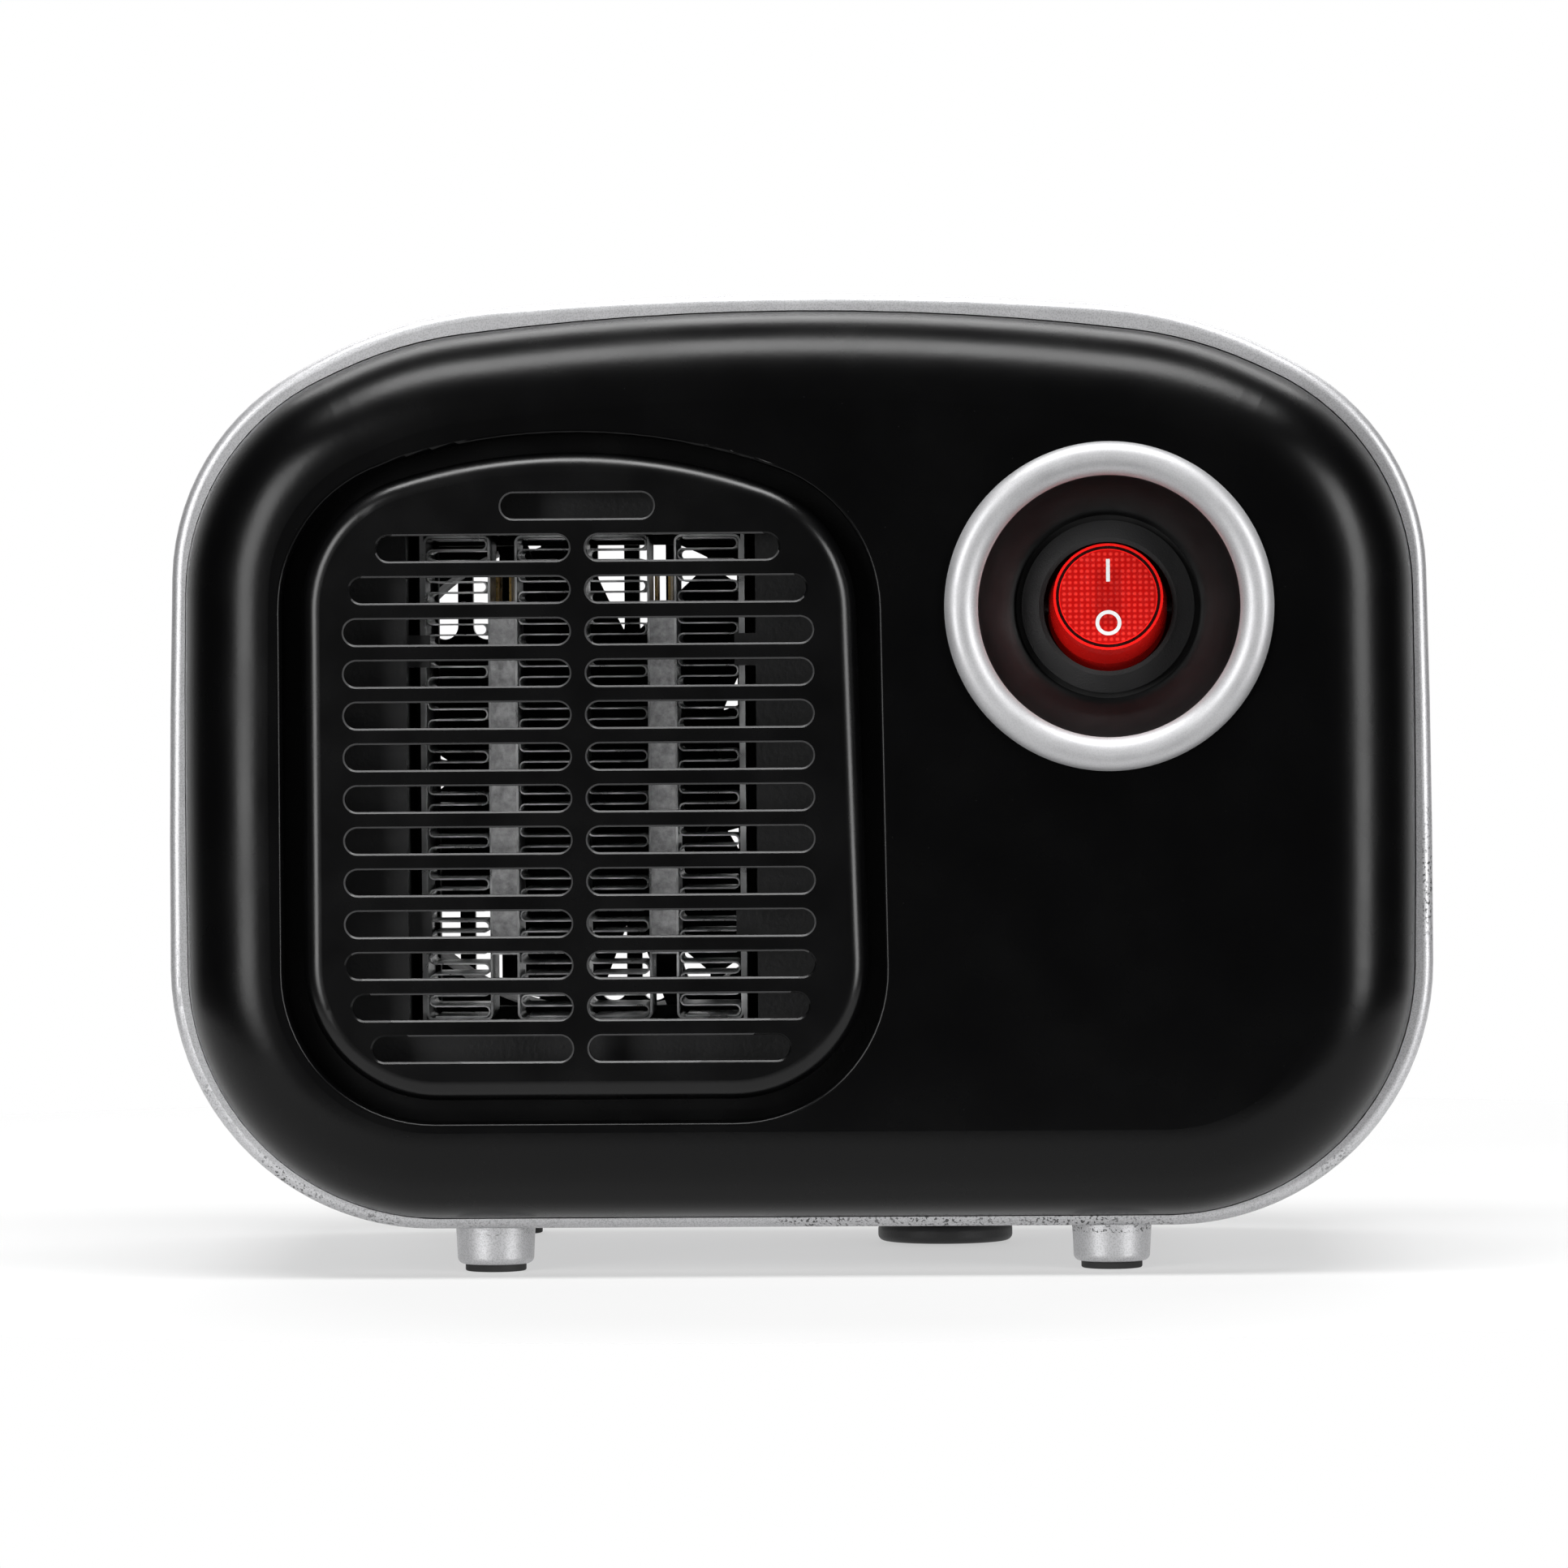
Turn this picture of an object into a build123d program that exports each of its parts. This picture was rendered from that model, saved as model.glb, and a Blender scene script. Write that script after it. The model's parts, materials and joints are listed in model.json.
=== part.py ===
from build123d import *
import os
from collections import namedtuple
from math import copysign, cos, radians, sin

# Small ceramic fan heater with a round rocker switch. All lengths are in millimetres.
# X runs to the right seen from the front, the front faces -Y, and Z = 0 is the floor.

os.makedirs("parts", exist_ok=True)

# ---------------------------------------------------------------- driving dimensions
# Depths along Y
RING_CREST_Y = -52.0
FACE_Y = -50.0
RIM_Y = -38.0
HOUSING_BACK_Y = 46.0
COVER_Y = 50.5
GLAND_BACK_Y = 52.0

WALL = 2.2
SHELL_GAP = 0.15
SHELL_ROUNDOVER = 12.0
COVER_ROUNDOVER = 6.0

# Outlines: each side is its foot and top as x, z, and on the case the end of its shoulder.
# The bow is how far a side bulges, and the radii round the foot, the top and the shoulder.
BODY_SIDE = [(84.0, 6.0), (83.2, 111.8), (54.0, 127.9)]
BODY_BOW = 0.8
BODY_CREST_Z = 130.7
BODY_RADII = (35.0, 32.0, 60.0)
SHELL_SIDE = [(81.0, 7.5), (81.3, 111.3), (53.5, 124.3)]
SHELL_BOW = 0.9
SHELL_CREST_Z = 128.3
SHELL_RADII = (33.5, 32.0, 55.0)
GRILLE_LEFT = [(-65.6, 23.8), (-65.6, 100.8)]
GRILLE_RIGHT = [(9.8, 23.8), (7.5, 99.9)]
GRILLE_CREST = (-30.0, 109.5)
GRILLE_RADII = (18.0, 18.0)
GROOVE_LEFT = [(-68.3, 20.8), (-68.3, 101.7)]
GROOVE_RIGHT = [(11.8, 20.8), (10.6, 100.9)]
GROOVE_CREST = (-29.5, 112.0)
GROOVE_RADII = (20.0, 20.0)

# Grille slots
AIR_X = -28.85
AIR_Z = 66.3
GRILLE_FRONT_Y = -50.6
GRILLE_ROUNDOVER = 2.6
GRILLE_BACK_Y = -42.2
FLANGE_GROW = 5.0
FLANGE_THICKNESS = 2.0
SLOT_HEIGHT = 3.35
SLOT_PITCH = 5.516
SLOT_BOTTOM_Z = 30.7
SLOT_BAR = 2.2
SLOT_EDGE = 0.25
SLOT_HALF_SPANS = [27.6, 30.2] + [31.0] * 9 + [30.2, 26.6]
TOP_SLOT_WIDTH = 20.2
GRILLE_POST_X = [-61.9, 5.0]
GRILLE_POST_Z = [44.5, 88.6]
GRILLE_POST_RADIUS = 2.2

# Case screws: ledge, boss and screw places
LEDGE_OPENING = (144.0, 98.0, 28.0)
LEDGE_OPENING_Z = 66.0
LEDGE_THICKNESS = 2.5
LEDGE_ROOT = 0.3
FRONT_LEDGE_Y = -28.0
REAR_LEDGE_Y = 36.0
CASE_SCREWS = [(-66.7, 20.5), (66.7, 20.5), (-71.5, 104.5), (71.5, 104.5)]
BOSS_RADIUS = 3.6
SCREW_RADIUS = 1.4
SCREW_HEAD_RADIUS = 2.8
SCREW_HEAD_HEIGHT = 2.0
PILOT_GAP = 0.05
SCREW_CLEARANCE = 0.3

# Feet
FOOT_FRONT = (41.4, -31.5)
FOOT_BACK = (43.0, 39.0)
FOOT_TOP_RADIUS = 5.5
FOOT_BOTTOM_RADIUS = 5.1
PAD_RADIUS = 4.1
PAD_HEIGHT = 0.95
PAD_ROUNDING = 0.25
FLOOR_INSIDE_Z = 7.45

# Switch, dish and ring
SWITCH_X = 41.3
SWITCH_Z = 88.65
RING_OUTER_RADIUS = 21.75
RING_CREST_RADIUS = 19.7
RING_INNER_RADIUS = 17.3
RING_WALL = 0.4
RING_SHOULDER = 0.55
RING_SHOULDER_SHARE = 0.3
DISH_TUBE_RADIUS = 19.0
DISH_FLANGE_RADIUS = 23.0
DISH_FLOOR_Y = -38.2
DISH_FLOOR_RADIUS = 12.2
DISH_WALL = 1.8
BEZEL_RADIUS = 11.5
BEZEL_FLAT_RADIUS = 9.2
BEZEL_BEVEL = 0.6
BEZEL_THICKNESS = 1.8
SWITCH_BODY_RADIUS = 9.95
SWITCH_MOUTH_RADIUS = 8.6
SWITCH_CAVITY_RADIUS = 8.95
SWITCH_BACK_Y = -20.0
PIVOT_Y = -37.0
ROCKER_RADIUS = 7.95
ROCKER_FACE_RADIUS = 7.3
ROCKER_FACE_OFFSET = 5.4
ROCKER_DEPTH = 4.0
ROCKER_TILT = 14.0
ROCKER_SKIN = 1.3
PIVOT_RADIUS = 1.1
PIVOT_REACH = 6.95
RUNNING_GAP = 0.05

# Heating element
ELEMENT_FRONT_Y = -38.0
ELEMENT_DEPTH = 15.0
CASING_WIDTH = 8.9
CASING_HEIGHT = 64.8
CASING_WALL = 0.3
CASING_CORNER = 1.0
TUBE_WIDTH = 3.3
TUBE_HEIGHT = 47.2
TUBE_WALL = 0.4
MIDDLE_GAP = 0.2
SIDE_PLATE = 0.5
FIN_THICKNESS = 0.2
FIN_RUNS = 46
STONE_COUNT = 5

# Holder, duct and fan
HOLDER_WIDTH = 46.5
HOLDER_HEIGHT = 66.4
HOLDER_WALL = 1.5
HOLDER_PLATE = 1.5
HOLDER_STOP_X = 3.0
HOLDER_STOP_Z = 2.0
HOLDER_BACK_Y = -19.8
FAN_SIZE = 70.0
FAN_DEPTH = 25.0
FAN_FRONT_Y = -2.0
FAN_OPENING_RADIUS = 33.5
FAN_HOLE_OFFSET = 30.75
FAN_SCREW_RADIUS = 1.5
HUB_RADIUS = 17.0
BLADE_TIP_RADIUS = 32.4
BLADE_COUNT = 7
SHAFT_RADIUS = 1.5
BEARING_RADIUS = 3.0
BEARING_TUBE_RADIUS = 4.4

# Power board
BOARD_X = 42.0
BOARD_Z = 44.0
BOARD_WIDTH = 50.0
BOARD_HEIGHT = 38.0
BOARD_FRONT_Y = -34.0
BOARD_THICKNESS = 1.6

# Tip-over switch
TIP_X = 18.8
TIP_Y = 16.5
TIP_DISC_RADIUS = 9.4
TIP_DISC_BOTTOM = 0.3
TIP_DISC_THICKNESS = 2.5
TIP_STEM_RADIUS = 3.0
TIP_STEM_GAP = 0.6
TIP_COLLAR_Z = 13.3
TIP_CAGE_TOP_Z = 26.0
TIP_STEM_TOP_Z = 34.6
LEVER_PIVOT_X = TIP_X + 12.5
LEVER_TIP_X = TIP_X - 3.5
LEVER_Z = 34.7

# Cord gland
GLAND_X = 52.0
GLAND_Z = 24.0
GLAND_BORE_RADIUS = 3.3

# Parts on the power board: sizes as width, height, depth, offsets from the board's centre as x, z
FILM_CAPACITOR_SIZE = (18.0, 8.5, 15.0)
FILM_CAPACITOR_OFFSET = (-12.0, 9.0)
SMOOTHING_CAPACITOR_RADIUS = 5.0
SMOOTHING_CAPACITOR_LENGTH = 17.0
SMOOTHING_CAPACITOR_OFFSET = (10.0, 7.0)
RECTIFIER_SIZE = (9.0, 6.4, 3.2)
RECTIFIER_OFFSET = (-14.0, -3.0)
TERMINAL_BLOCK_SIZE = (12.0, 8.0, 10.0)
TERMINAL_BLOCK_X = (-4.0, 12.0)
TERMINAL_BLOCK_Z = -12.0
TERMINAL_BLOCK_HOLE_X = 3.0
TERMINAL_BLOCK_HOLE_RADIUS = 1.6

# Details
FRONT_LIP_ROUNDING = 1.4
REAR_LIP_ROUNDING = 1.2
FOOT_HEIGHT = 8.0
FOOT_ROUNDING = 0.9
REAR_BOSS_LENGTH = 8.0
SHELL_BACK_Y = -30.0
FRONT_BOSS_END_Y = -42.4
GROOVE_WALL = 1.8
GROOVE_WALL_BACK_Y = -44.2
WINDOW_ROUNDING = 0.5
BOARD_POST_X = (20.0, 64.0)
BOARD_POST_Z = (28.0, 60.0)
BOARD_POST_RADIUS = 3.0
BOARD_SCREW_RADIUS = 1.2
HOLDER_SCREW_RADIUS = 1.0
HOLDER_GROW = 2.0
DISH_BOWL_MID_RADIUS = 15.9
DISH_BOWL_MID_Y = -42.4
DISH_BACK_Y = -46.2
CONTACT_Y = -27.6
CONTACT_TILT = 6.3
CONTACT_WIDTH = 4.0
CONTACT_LENGTH = 13.0
CONTACT_THICKNESS = 0.4
CONTACT_CURL_RADIUS = 0.85
CONTACT_PIN_RADIUS = 0.45
CONTACT_DOT_RADIUS = 1.1
CONTACT_DOT_HEIGHT = 0.6
CONTACT_DOT_OFFSET = 5.2
FORK_X = 2.8
FORK_WIDTH = 1.2
FORK_HEIGHT = 1.8
TERMINAL_OFFSETS = (-6.0, 0.0, 6.0)
TERMINAL_WIDTH = 6.3
TERMINAL_THICKNESS = 0.8
TERMINAL_FRONT_Y = -26.6
TERMINAL_BACK_Y = -12.0
TERMINAL_HOLE_RADIUS = 0.9
SWITCH_FLOOR = 2.0
PLUNGER_BRIDGE = 4.0
PLUNGER_RADIUS = 1.2
PLUNGER_TIP = 8.3
MARK_OFFSET = 3.6
MARK_STROKE = 0.5
MARK_BAR_HEIGHT = 3.1
MARK_RING_RADIUS = 1.72
MARK_THICKNESS = 0.06
LAMP_DEPTH = 1.6
LAMP_RADIUS = 1.6
LAMP_LENGTH = 8.0
FIN_GAP = 0.08
FIN_INSET = 0.4
STONE_THICKNESS = 1.5
ELECTRODE_THICKNESS = 0.3
ELECTRODE_LIFT = 3.0
CLIP_OFFSETS = (-19.5, 17.0)
CLIP_REACH = 2.9
CLIP_HEIGHT = 4.3
CLIP_THICKNESS = 1.2
HUB_PLATE = 2.0
HUB_WALL = 1.5
HUB_LOW = 0.8
HUB_HIGH = 20.5
STRUT_DEPTH = 3.5
STRUT_WIDTH = 4.0
BEARING_TUBE_LOW = 7.0
BEARING_LENGTH = 4.0
BLADE_CHORD = 22.0
BLADE_THICKNESS = 1.5
BLADE_ROOT_PITCH = 48.0
BLADE_TIP_PITCH = 30.0
BLADE_LOW = 2.0
BLADE_HIGH = 19.5
SHAFT_BOSS_RADIUS = 3.5
SHAFT_BOSS_LENGTH = 3.0
CUP_WALL = 0.8
MAGNET_WALL = 2.0
MAGNET_LOW = 6.0
STATOR_INNER_RADIUS = 6.0
STATOR_LOW = 9.0
STATOR_HIGH = 17.0
POLE_WIDTH = 3.2
FAN_BOARD_HEIGHT = 20.8
COVER_FRONT_Y = 40.0
COVER_SCREW_SEAT_Y = 45.0
INTAKE_PITCH = 6.0
INTAKE_LENGTH = 15.0
INTAKE_BAR = 2.4
INTAKE_COLUMNS = 11
INTAKE_ROWS = 4
INTAKE_WIDTH = 3.8
GLAND_NECK_RADIUS = 5.2
GLAND_FLANGE_RADIUS = 8.0
GLAND_FRONT_Y = 42.0
CUTOUT_Y = -11.0
CUTOUT_Z = 80.0
CUTOUT_RADIUS = 7.5
CUTOUT_LENGTH = 7.0
CUTOUT_CAP_RADIUS = 5.5
CUTOUT_CAP_LENGTH = 3.0
FUSE_Z = 46.0
FUSE_RADIUS = 2.0
FUSE_LENGTH = 12.0
TIP_COLLAR_RADIUS = 5.2
TIP_COLLAR_THICKNESS = 1.5
TIP_DISC_ROUNDING = 0.9
TIP_NOSE_LOW_Z = 27.6
TIP_NOSE_RADIUS = 2.0
TIP_SPRING_PITCH = 2.4
TIP_SPRING_RADIUS = 4.0
TIP_WIRE_RADIUS = 0.3
CAGE_WIDTH = 15.0
CAGE_WALL = 1.5
SHELF_OFFSET = 6.0
SHELF_WIDTH = 30.0
MICRO_X = TIP_X + 4.5
MICRO_LENGTH = 20.0
MICRO_DEPTH = 6.4
MICRO_BOTTOM_Z = 36.2
MICRO_TOP_Z = 46.2
LEVER_WIDTH = 4.0
LEVER_PIN_RADIUS = 0.6
LEVER_CURL = 0.5
LEVER_THICKNESS = 0.5
CHEEK_WIDTH = 3.0
BUTTON_SIZE = 2.0
BUTTON_HEIGHT = 2.2
BUTTON_X = TIP_X + 6.5


# ---------------------------------------------------------------- shared shapes
def at_depth(y):
    """Sketch plane at a depth, seen from the front: x to the right, y up, extruding forwards."""
    return Plane.XZ.offset(-y)


def round_plane(x, y, z):
    """Plane facing forwards with its origin on an axis that runs front to back."""
    return Plane(origin=(x, y, z), x_dir=(1, 0, 0), z_dir=(0, -1, 0))


Outline = namedtuple("Outline", "left right bow crest radii")


def symmetric(side, bow, crest_z, radii):
    """Outline with the same side left and right and its crest on the centre line."""
    return Outline([(-x, z) for x, z in side], side, bow, (0.0, crest_z), radii)


BODY = symmetric(BODY_SIDE, BODY_BOW, BODY_CREST_Z, BODY_RADII)
SHELL = symmetric(SHELL_SIDE, SHELL_BOW, SHELL_CREST_Z, SHELL_RADII)
GRILLE = Outline(GRILLE_LEFT, GRILLE_RIGHT, 0.0, GRILLE_CREST, GRILLE_RADII)
GROOVE = Outline(GROOVE_LEFT, GROOVE_RIGHT, 0.0, GROOVE_CREST, GROOVE_RADII)


def outline(shape, grow=0.0):
    """Flat base, sides and arched crown with round corners, added to the sketch that is open."""
    with BuildSketch(mode=Mode.PRIVATE) as face:
        with BuildLine():
            Line(shape.left[0], shape.right[0])
            for foot, top, *shoulder in (shape.left, shape.right):
                if shape.bow:
                    middle_x = (foot[0] + top[0]) / 2 + copysign(shape.bow, foot[0])
                    ThreePointArc(foot, (middle_x, (foot[1] + top[1]) / 2), top)
                else:
                    Line(foot, top)
                for end in shoulder:
                    Line(top, end)
            ThreePointArc(shape.left[-1], shape.crest, shape.right[-1])
        make_face()
        for corner, radius in zip(shape.left + shape.right, shape.radii * 2):
            fillet(face.vertices().sort_by_distance(corner)[0], radius=radius)
        if grow:
            offset(amount=grow)
    add(face.sketch)


def slab(shape, start_y, end_y, grow=0.0, roundover=0.0):
    """Solid of an outline between two depths, with its far edge rounded over."""
    with BuildPart() as block:
        with BuildSketch(at_depth(start_y)):
            outline(shape, grow)
        extrude(amount=start_y - end_y)
        if roundover:
            far_face = block.faces().sort_by(Axis.Y)[0 if end_y < start_y else -1]
            fillet(far_face.edges(), radius=roundover)
    return block.part


def save(name, part):
    """Label a finished piece and write it."""
    part.label = name
    export_step(part, f"parts/{name}.step")


def rods(places, start_y, end_y, radius, mode=Mode.ADD):
    """Round rods along Y at x, z places, joined to or cut from the piece being built."""
    with BuildSketch(at_depth(start_y)) as ends:
        with Locations(*places):
            Circle(radius)
    extrude(ends.sketch, amount=start_y - end_y, mode=mode)


def plate(x, z, width, height, start_y, end_y, mode=Mode.ADD, corner=0.0):
    """Rectangular plate or block between two depths."""
    with BuildSketch(at_depth(start_y)) as face:
        with Locations((x, z)):
            if corner:
                RectangleRounded(width, height, corner)
            else:
                Rectangle(width, height)
    extrude(face.sketch, amount=start_y - end_y, mode=mode)


# ---------------------------------------------------------------- housing
# Silver band with rounded lips, four moulded feet and two screw ledges inside.
foot_places = [(side * x, y) for side in (-1, 1) for x, y in (FOOT_FRONT, FOOT_BACK)]
housing_outside = slab(BODY, HOUSING_BACK_Y, RIM_Y)
housing_inside = slab(SHELL, HOUSING_BACK_Y + 1, RIM_Y - 1, grow=SHELL_GAP)

with BuildPart() as housing:
    add(housing_outside)
    fillet(housing.faces().sort_by(Axis.Y)[0].edges(), radius=FRONT_LIP_ROUNDING)
    fillet(housing.faces().sort_by(Axis.Y)[-1].edges(), radius=REAR_LIP_ROUNDING)
    with Locations(*[(x, y, PAD_HEIGHT) for x, y in foot_places]):
        Cone(FOOT_BOTTOM_RADIUS, FOOT_TOP_RADIUS, FOOT_HEIGHT, align=(Align.CENTER, Align.CENTER, Align.MIN))
    fillet(housing.faces().sort_by(Axis.Z)[0:4].edges(), radius=FOOT_ROUNDING)
    add(housing_inside, mode=Mode.SUBTRACT)
    for ledge_y in (FRONT_LEDGE_Y, REAR_LEDGE_Y):
        with BuildSketch(at_depth(ledge_y + LEDGE_THICKNESS)):
            outline(SHELL, SHELL_GAP + LEDGE_ROOT)
            with Locations((0, LEDGE_OPENING_Z)):
                RectangleRounded(*LEDGE_OPENING, mode=Mode.SUBTRACT)
        extrude(amount=LEDGE_THICKNESS)
    rods(CASE_SCREWS, REAR_LEDGE_Y, REAR_LEDGE_Y - REAR_BOSS_LENGTH, BOSS_RADIUS)
    rods(CASE_SCREWS, FRONT_LEDGE_Y + 4, FRONT_LEDGE_Y - 1, SCREW_RADIUS + SCREW_CLEARANCE, Mode.SUBTRACT)
    rods(CASE_SCREWS, REAR_LEDGE_Y + 4, REAR_LEDGE_Y - 7, SCREW_RADIUS + PILOT_GAP, Mode.SUBTRACT)
    with Locations((TIP_X, TIP_Y, FLOOR_INSIDE_Z)):
        Cylinder(TIP_STEM_RADIUS + TIP_STEM_GAP, 2 * LEDGE_THICKNESS, mode=Mode.SUBTRACT)
save("housing", housing.part)

with BuildPart() as foot_pads:
    with Locations(*[(x, y, 0) for x, y in foot_places]):
        Cylinder(PAD_RADIUS, PAD_HEIGHT, align=(Align.CENTER, Align.CENTER, Align.MIN))
    fillet(foot_pads.faces().sort_by(Axis.Z)[0:4].edges(), radius=PAD_ROUNDING)
save("foot_pads", foot_pads.part)

# ---------------------------------------------------------------- front shell
# Black domed shell with a window for the grille and a round hole for the switch dish.
shell_outside = slab(SHELL, SHELL_BACK_Y, FACE_Y, roundover=SHELL_ROUNDOVER)
shell_inside = slab(
    SHELL,
    SHELL_BACK_Y + 1,
    FACE_Y + WALL,
    grow=-WALL,
    roundover=SHELL_ROUNDOVER - WALL,
)

with BuildPart() as front_shell:
    add(shell_outside)
    add(shell_inside, mode=Mode.SUBTRACT)
    rods(CASE_SCREWS, FRONT_LEDGE_Y, FRONT_BOSS_END_Y, BOSS_RADIUS)
    with BuildSketch(at_depth(GROOVE_WALL_BACK_Y)):
        outline(GROOVE, GROOVE_WALL)
    extrude(amount=GROOVE_WALL_BACK_Y - FACE_Y - 1)
    with BuildSketch(at_depth(GROOVE_WALL_BACK_Y + 1)):
        outline(GROOVE)
    extrude(amount=20, mode=Mode.SUBTRACT)
    rods([(SWITCH_X, SWITCH_Z)], FACE_Y + 5, FACE_Y - 1, DISH_TUBE_RADIUS + 0.1, Mode.SUBTRACT)
    board_posts = [(x, z) for x in BOARD_POST_X for z in BOARD_POST_Z]
    rods(board_posts, BOARD_FRONT_Y, FACE_Y + WALL - 0.5, BOARD_POST_RADIUS)
    rods(board_posts, BOARD_FRONT_Y + 1, BOARD_FRONT_Y - 9, BOARD_SCREW_RADIUS + PILOT_GAP, Mode.SUBTRACT)
    rods(CASE_SCREWS, FRONT_LEDGE_Y + 1, FRONT_BOSS_END_Y + 2.5, SCREW_RADIUS + PILOT_GAP, Mode.SUBTRACT)
    window_edge = front_shell.faces().sort_by(Axis.Y)[0].inner_wires().sort_by(SortBy.LENGTH)[-1]
    fillet(window_edge.edges(), radius=WINDOW_ROUNDING)
save("front_shell", front_shell.part)

# ---------------------------------------------------------------- front grille
# Raised cushion-shaped insert with a flange behind the shell's window and posts for the holder.
grille_outside = slab(GRILLE, GRILLE_BACK_Y, GRILLE_FRONT_Y, roundover=GRILLE_ROUNDOVER)
grille_inside = slab(
    GRILLE,
    GRILLE_BACK_Y + 1,
    GRILLE_FRONT_Y + WALL,
    grow=-WALL,
    roundover=GRILLE_ROUNDOVER - WALL,
)
grille_posts = [(x, z) for x in GRILLE_POST_X for z in GRILLE_POST_Z]

with BuildPart() as front_grille:
    with BuildSketch(at_depth(GRILLE_BACK_Y)):
        outline(GRILLE, FLANGE_GROW)
    extrude(amount=FLANGE_THICKNESS)
    add(grille_outside)
    add(grille_inside, mode=Mode.SUBTRACT)
    with BuildPart(mode=Mode.PRIVATE) as grille_post:
        rods(grille_posts, GRILLE_BACK_Y, GRILLE_FRONT_Y + WALL - 0.5, GRILLE_POST_RADIUS)
        add(grille_outside, mode=Mode.INTERSECT)
    add(grille_post.part)
    with BuildSketch(at_depth(GRILLE_FRONT_Y + WALL + 1)):
        for row, half_span in enumerate(SLOT_HALF_SPANS):
            slot_width = half_span - SLOT_BAR / 2
            for side in (-1, 1):
                slot_x = AIR_X + side * (half_span + SLOT_BAR / 2) / 2
                with Locations((slot_x, SLOT_BOTTOM_Z + row * SLOT_PITCH)):
                    SlotOverall(slot_width, SLOT_HEIGHT)
        with Locations((AIR_X, SLOT_BOTTOM_Z + len(SLOT_HALF_SPANS) * SLOT_PITCH)):
            SlotOverall(TOP_SLOT_WIDTH, SLOT_HEIGHT)
    extrude(amount=WALL + 2, mode=Mode.SUBTRACT)
    slot_edges = [wire.edges() for wire in front_grille.faces().sort_by(Axis.Y)[0].inner_wires()]
    chamfer([edge for edges in slot_edges for edge in edges], length=SLOT_EDGE)
    rods(grille_posts, GRILLE_BACK_Y + 1, GRILLE_BACK_Y - 5, HOLDER_SCREW_RADIUS + PILOT_GAP, Mode.SUBTRACT)
save("front_grille", front_grille.part)

# ---------------------------------------------------------------- switch dish and trim ring
dish_section = Plane(origin=(SWITCH_X, 0, SWITCH_Z), x_dir=(1, 0, 0), z_dir=(0, 0, 1))
dish_axis = Axis((SWITCH_X, 0, SWITCH_Z), (0, 1, 0))

with BuildPart() as switch_dish:
    with BuildSketch(dish_section):
        with BuildLine():
            bowl = ThreePointArc(
                (RING_INNER_RADIUS, FACE_Y),
                (DISH_BOWL_MID_RADIUS, DISH_BOWL_MID_Y),
                (DISH_FLOOR_RADIUS, DISH_FLOOR_Y),
            )
            Polyline(
                bowl @ 1,
                (SWITCH_BODY_RADIUS + 0.1, DISH_FLOOR_Y),
                (SWITCH_BODY_RADIUS + 0.1, DISH_FLOOR_Y + DISH_WALL),
                (DISH_FLOOR_RADIUS + DISH_WALL, DISH_FLOOR_Y + DISH_WALL),
                (DISH_TUBE_RADIUS, DISH_BACK_Y),
                (DISH_FLANGE_RADIUS, DISH_BACK_Y),
                (DISH_FLANGE_RADIUS, FACE_Y + WALL),
                (DISH_TUBE_RADIUS, FACE_Y + WALL),
                (DISH_TUBE_RADIUS, FACE_Y),
                bowl @ 0,
            )
        make_face()
    revolve(axis=dish_axis, revolution_arc=360)
save("switch_dish", switch_dish.part)

# The ring's crest is one soft swell between two low walls, each side an arc that is level at the crest.
ring_wall_y = FACE_Y - RING_WALL
ring_shoulder_y = RING_CREST_Y + RING_SHOULDER
with BuildPart() as trim_ring:
    with BuildSketch(dish_section):
        with BuildLine():
            Line((RING_INNER_RADIUS, FACE_Y), (RING_OUTER_RADIUS, FACE_Y))
            for edge_radius in (RING_INNER_RADIUS, RING_OUTER_RADIUS):
                Line((edge_radius, FACE_Y), (edge_radius, ring_wall_y))
                ThreePointArc(
                    (edge_radius, ring_wall_y),
                    (edge_radius + (RING_CREST_RADIUS - edge_radius) * RING_SHOULDER_SHARE, ring_shoulder_y),
                    (RING_CREST_RADIUS, RING_CREST_Y),
                )
        make_face()
    revolve(axis=dish_axis, revolution_arc=360)
save("trim_ring", trim_ring.part)

# ---------------------------------------------------------------- rocker switch
bezel_front_y = DISH_FLOOR_Y - BEZEL_THICKNESS
switch_place = [(SWITCH_X, SWITCH_Z)]
with BuildPart() as switch_body:
    with BuildSketch(round_plane(SWITCH_X, DISH_FLOOR_Y, SWITCH_Z)):
        Circle(BEZEL_RADIUS)
    extrude(amount=BEZEL_THICKNESS)
    chamfer(
        switch_body.faces().sort_by(Axis.Y)[0].edges(),
        length=BEZEL_BEVEL,
        length2=BEZEL_RADIUS - BEZEL_FLAT_RADIUS,
    )
    rods(switch_place, SWITCH_BACK_Y, DISH_FLOOR_Y, SWITCH_BODY_RADIUS)
    rods(switch_place, SWITCH_BACK_Y - SWITCH_FLOOR, DISH_FLOOR_Y, SWITCH_CAVITY_RADIUS, Mode.SUBTRACT)
    rods(switch_place, DISH_FLOOR_Y + 1, bezel_front_y - 1, SWITCH_MOUTH_RADIUS, Mode.SUBTRACT)
    pin_length = SWITCH_BODY_RADIUS - 0.4 - PIVOT_REACH
    for side in (-1, 1):
        pin_x = SWITCH_X + side * (PIVOT_REACH + pin_length / 2)
        with Locations(Location((pin_x, PIVOT_Y, SWITCH_Z), (0, 90, 0))):
            Cylinder(PIVOT_RADIUS, pin_length)
    for terminal_z in TERMINAL_OFFSETS:
        plate(
            SWITCH_X,
            SWITCH_Z + terminal_z,
            TERMINAL_WIDTH + 0.2,
            TERMINAL_THICKNESS + 0.2,
            SWITCH_BACK_Y + 1,
            SWITCH_BACK_Y - SWITCH_FLOOR - 0.5,
            Mode.SUBTRACT,
        )
save("switch_body", switch_body.part)

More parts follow.
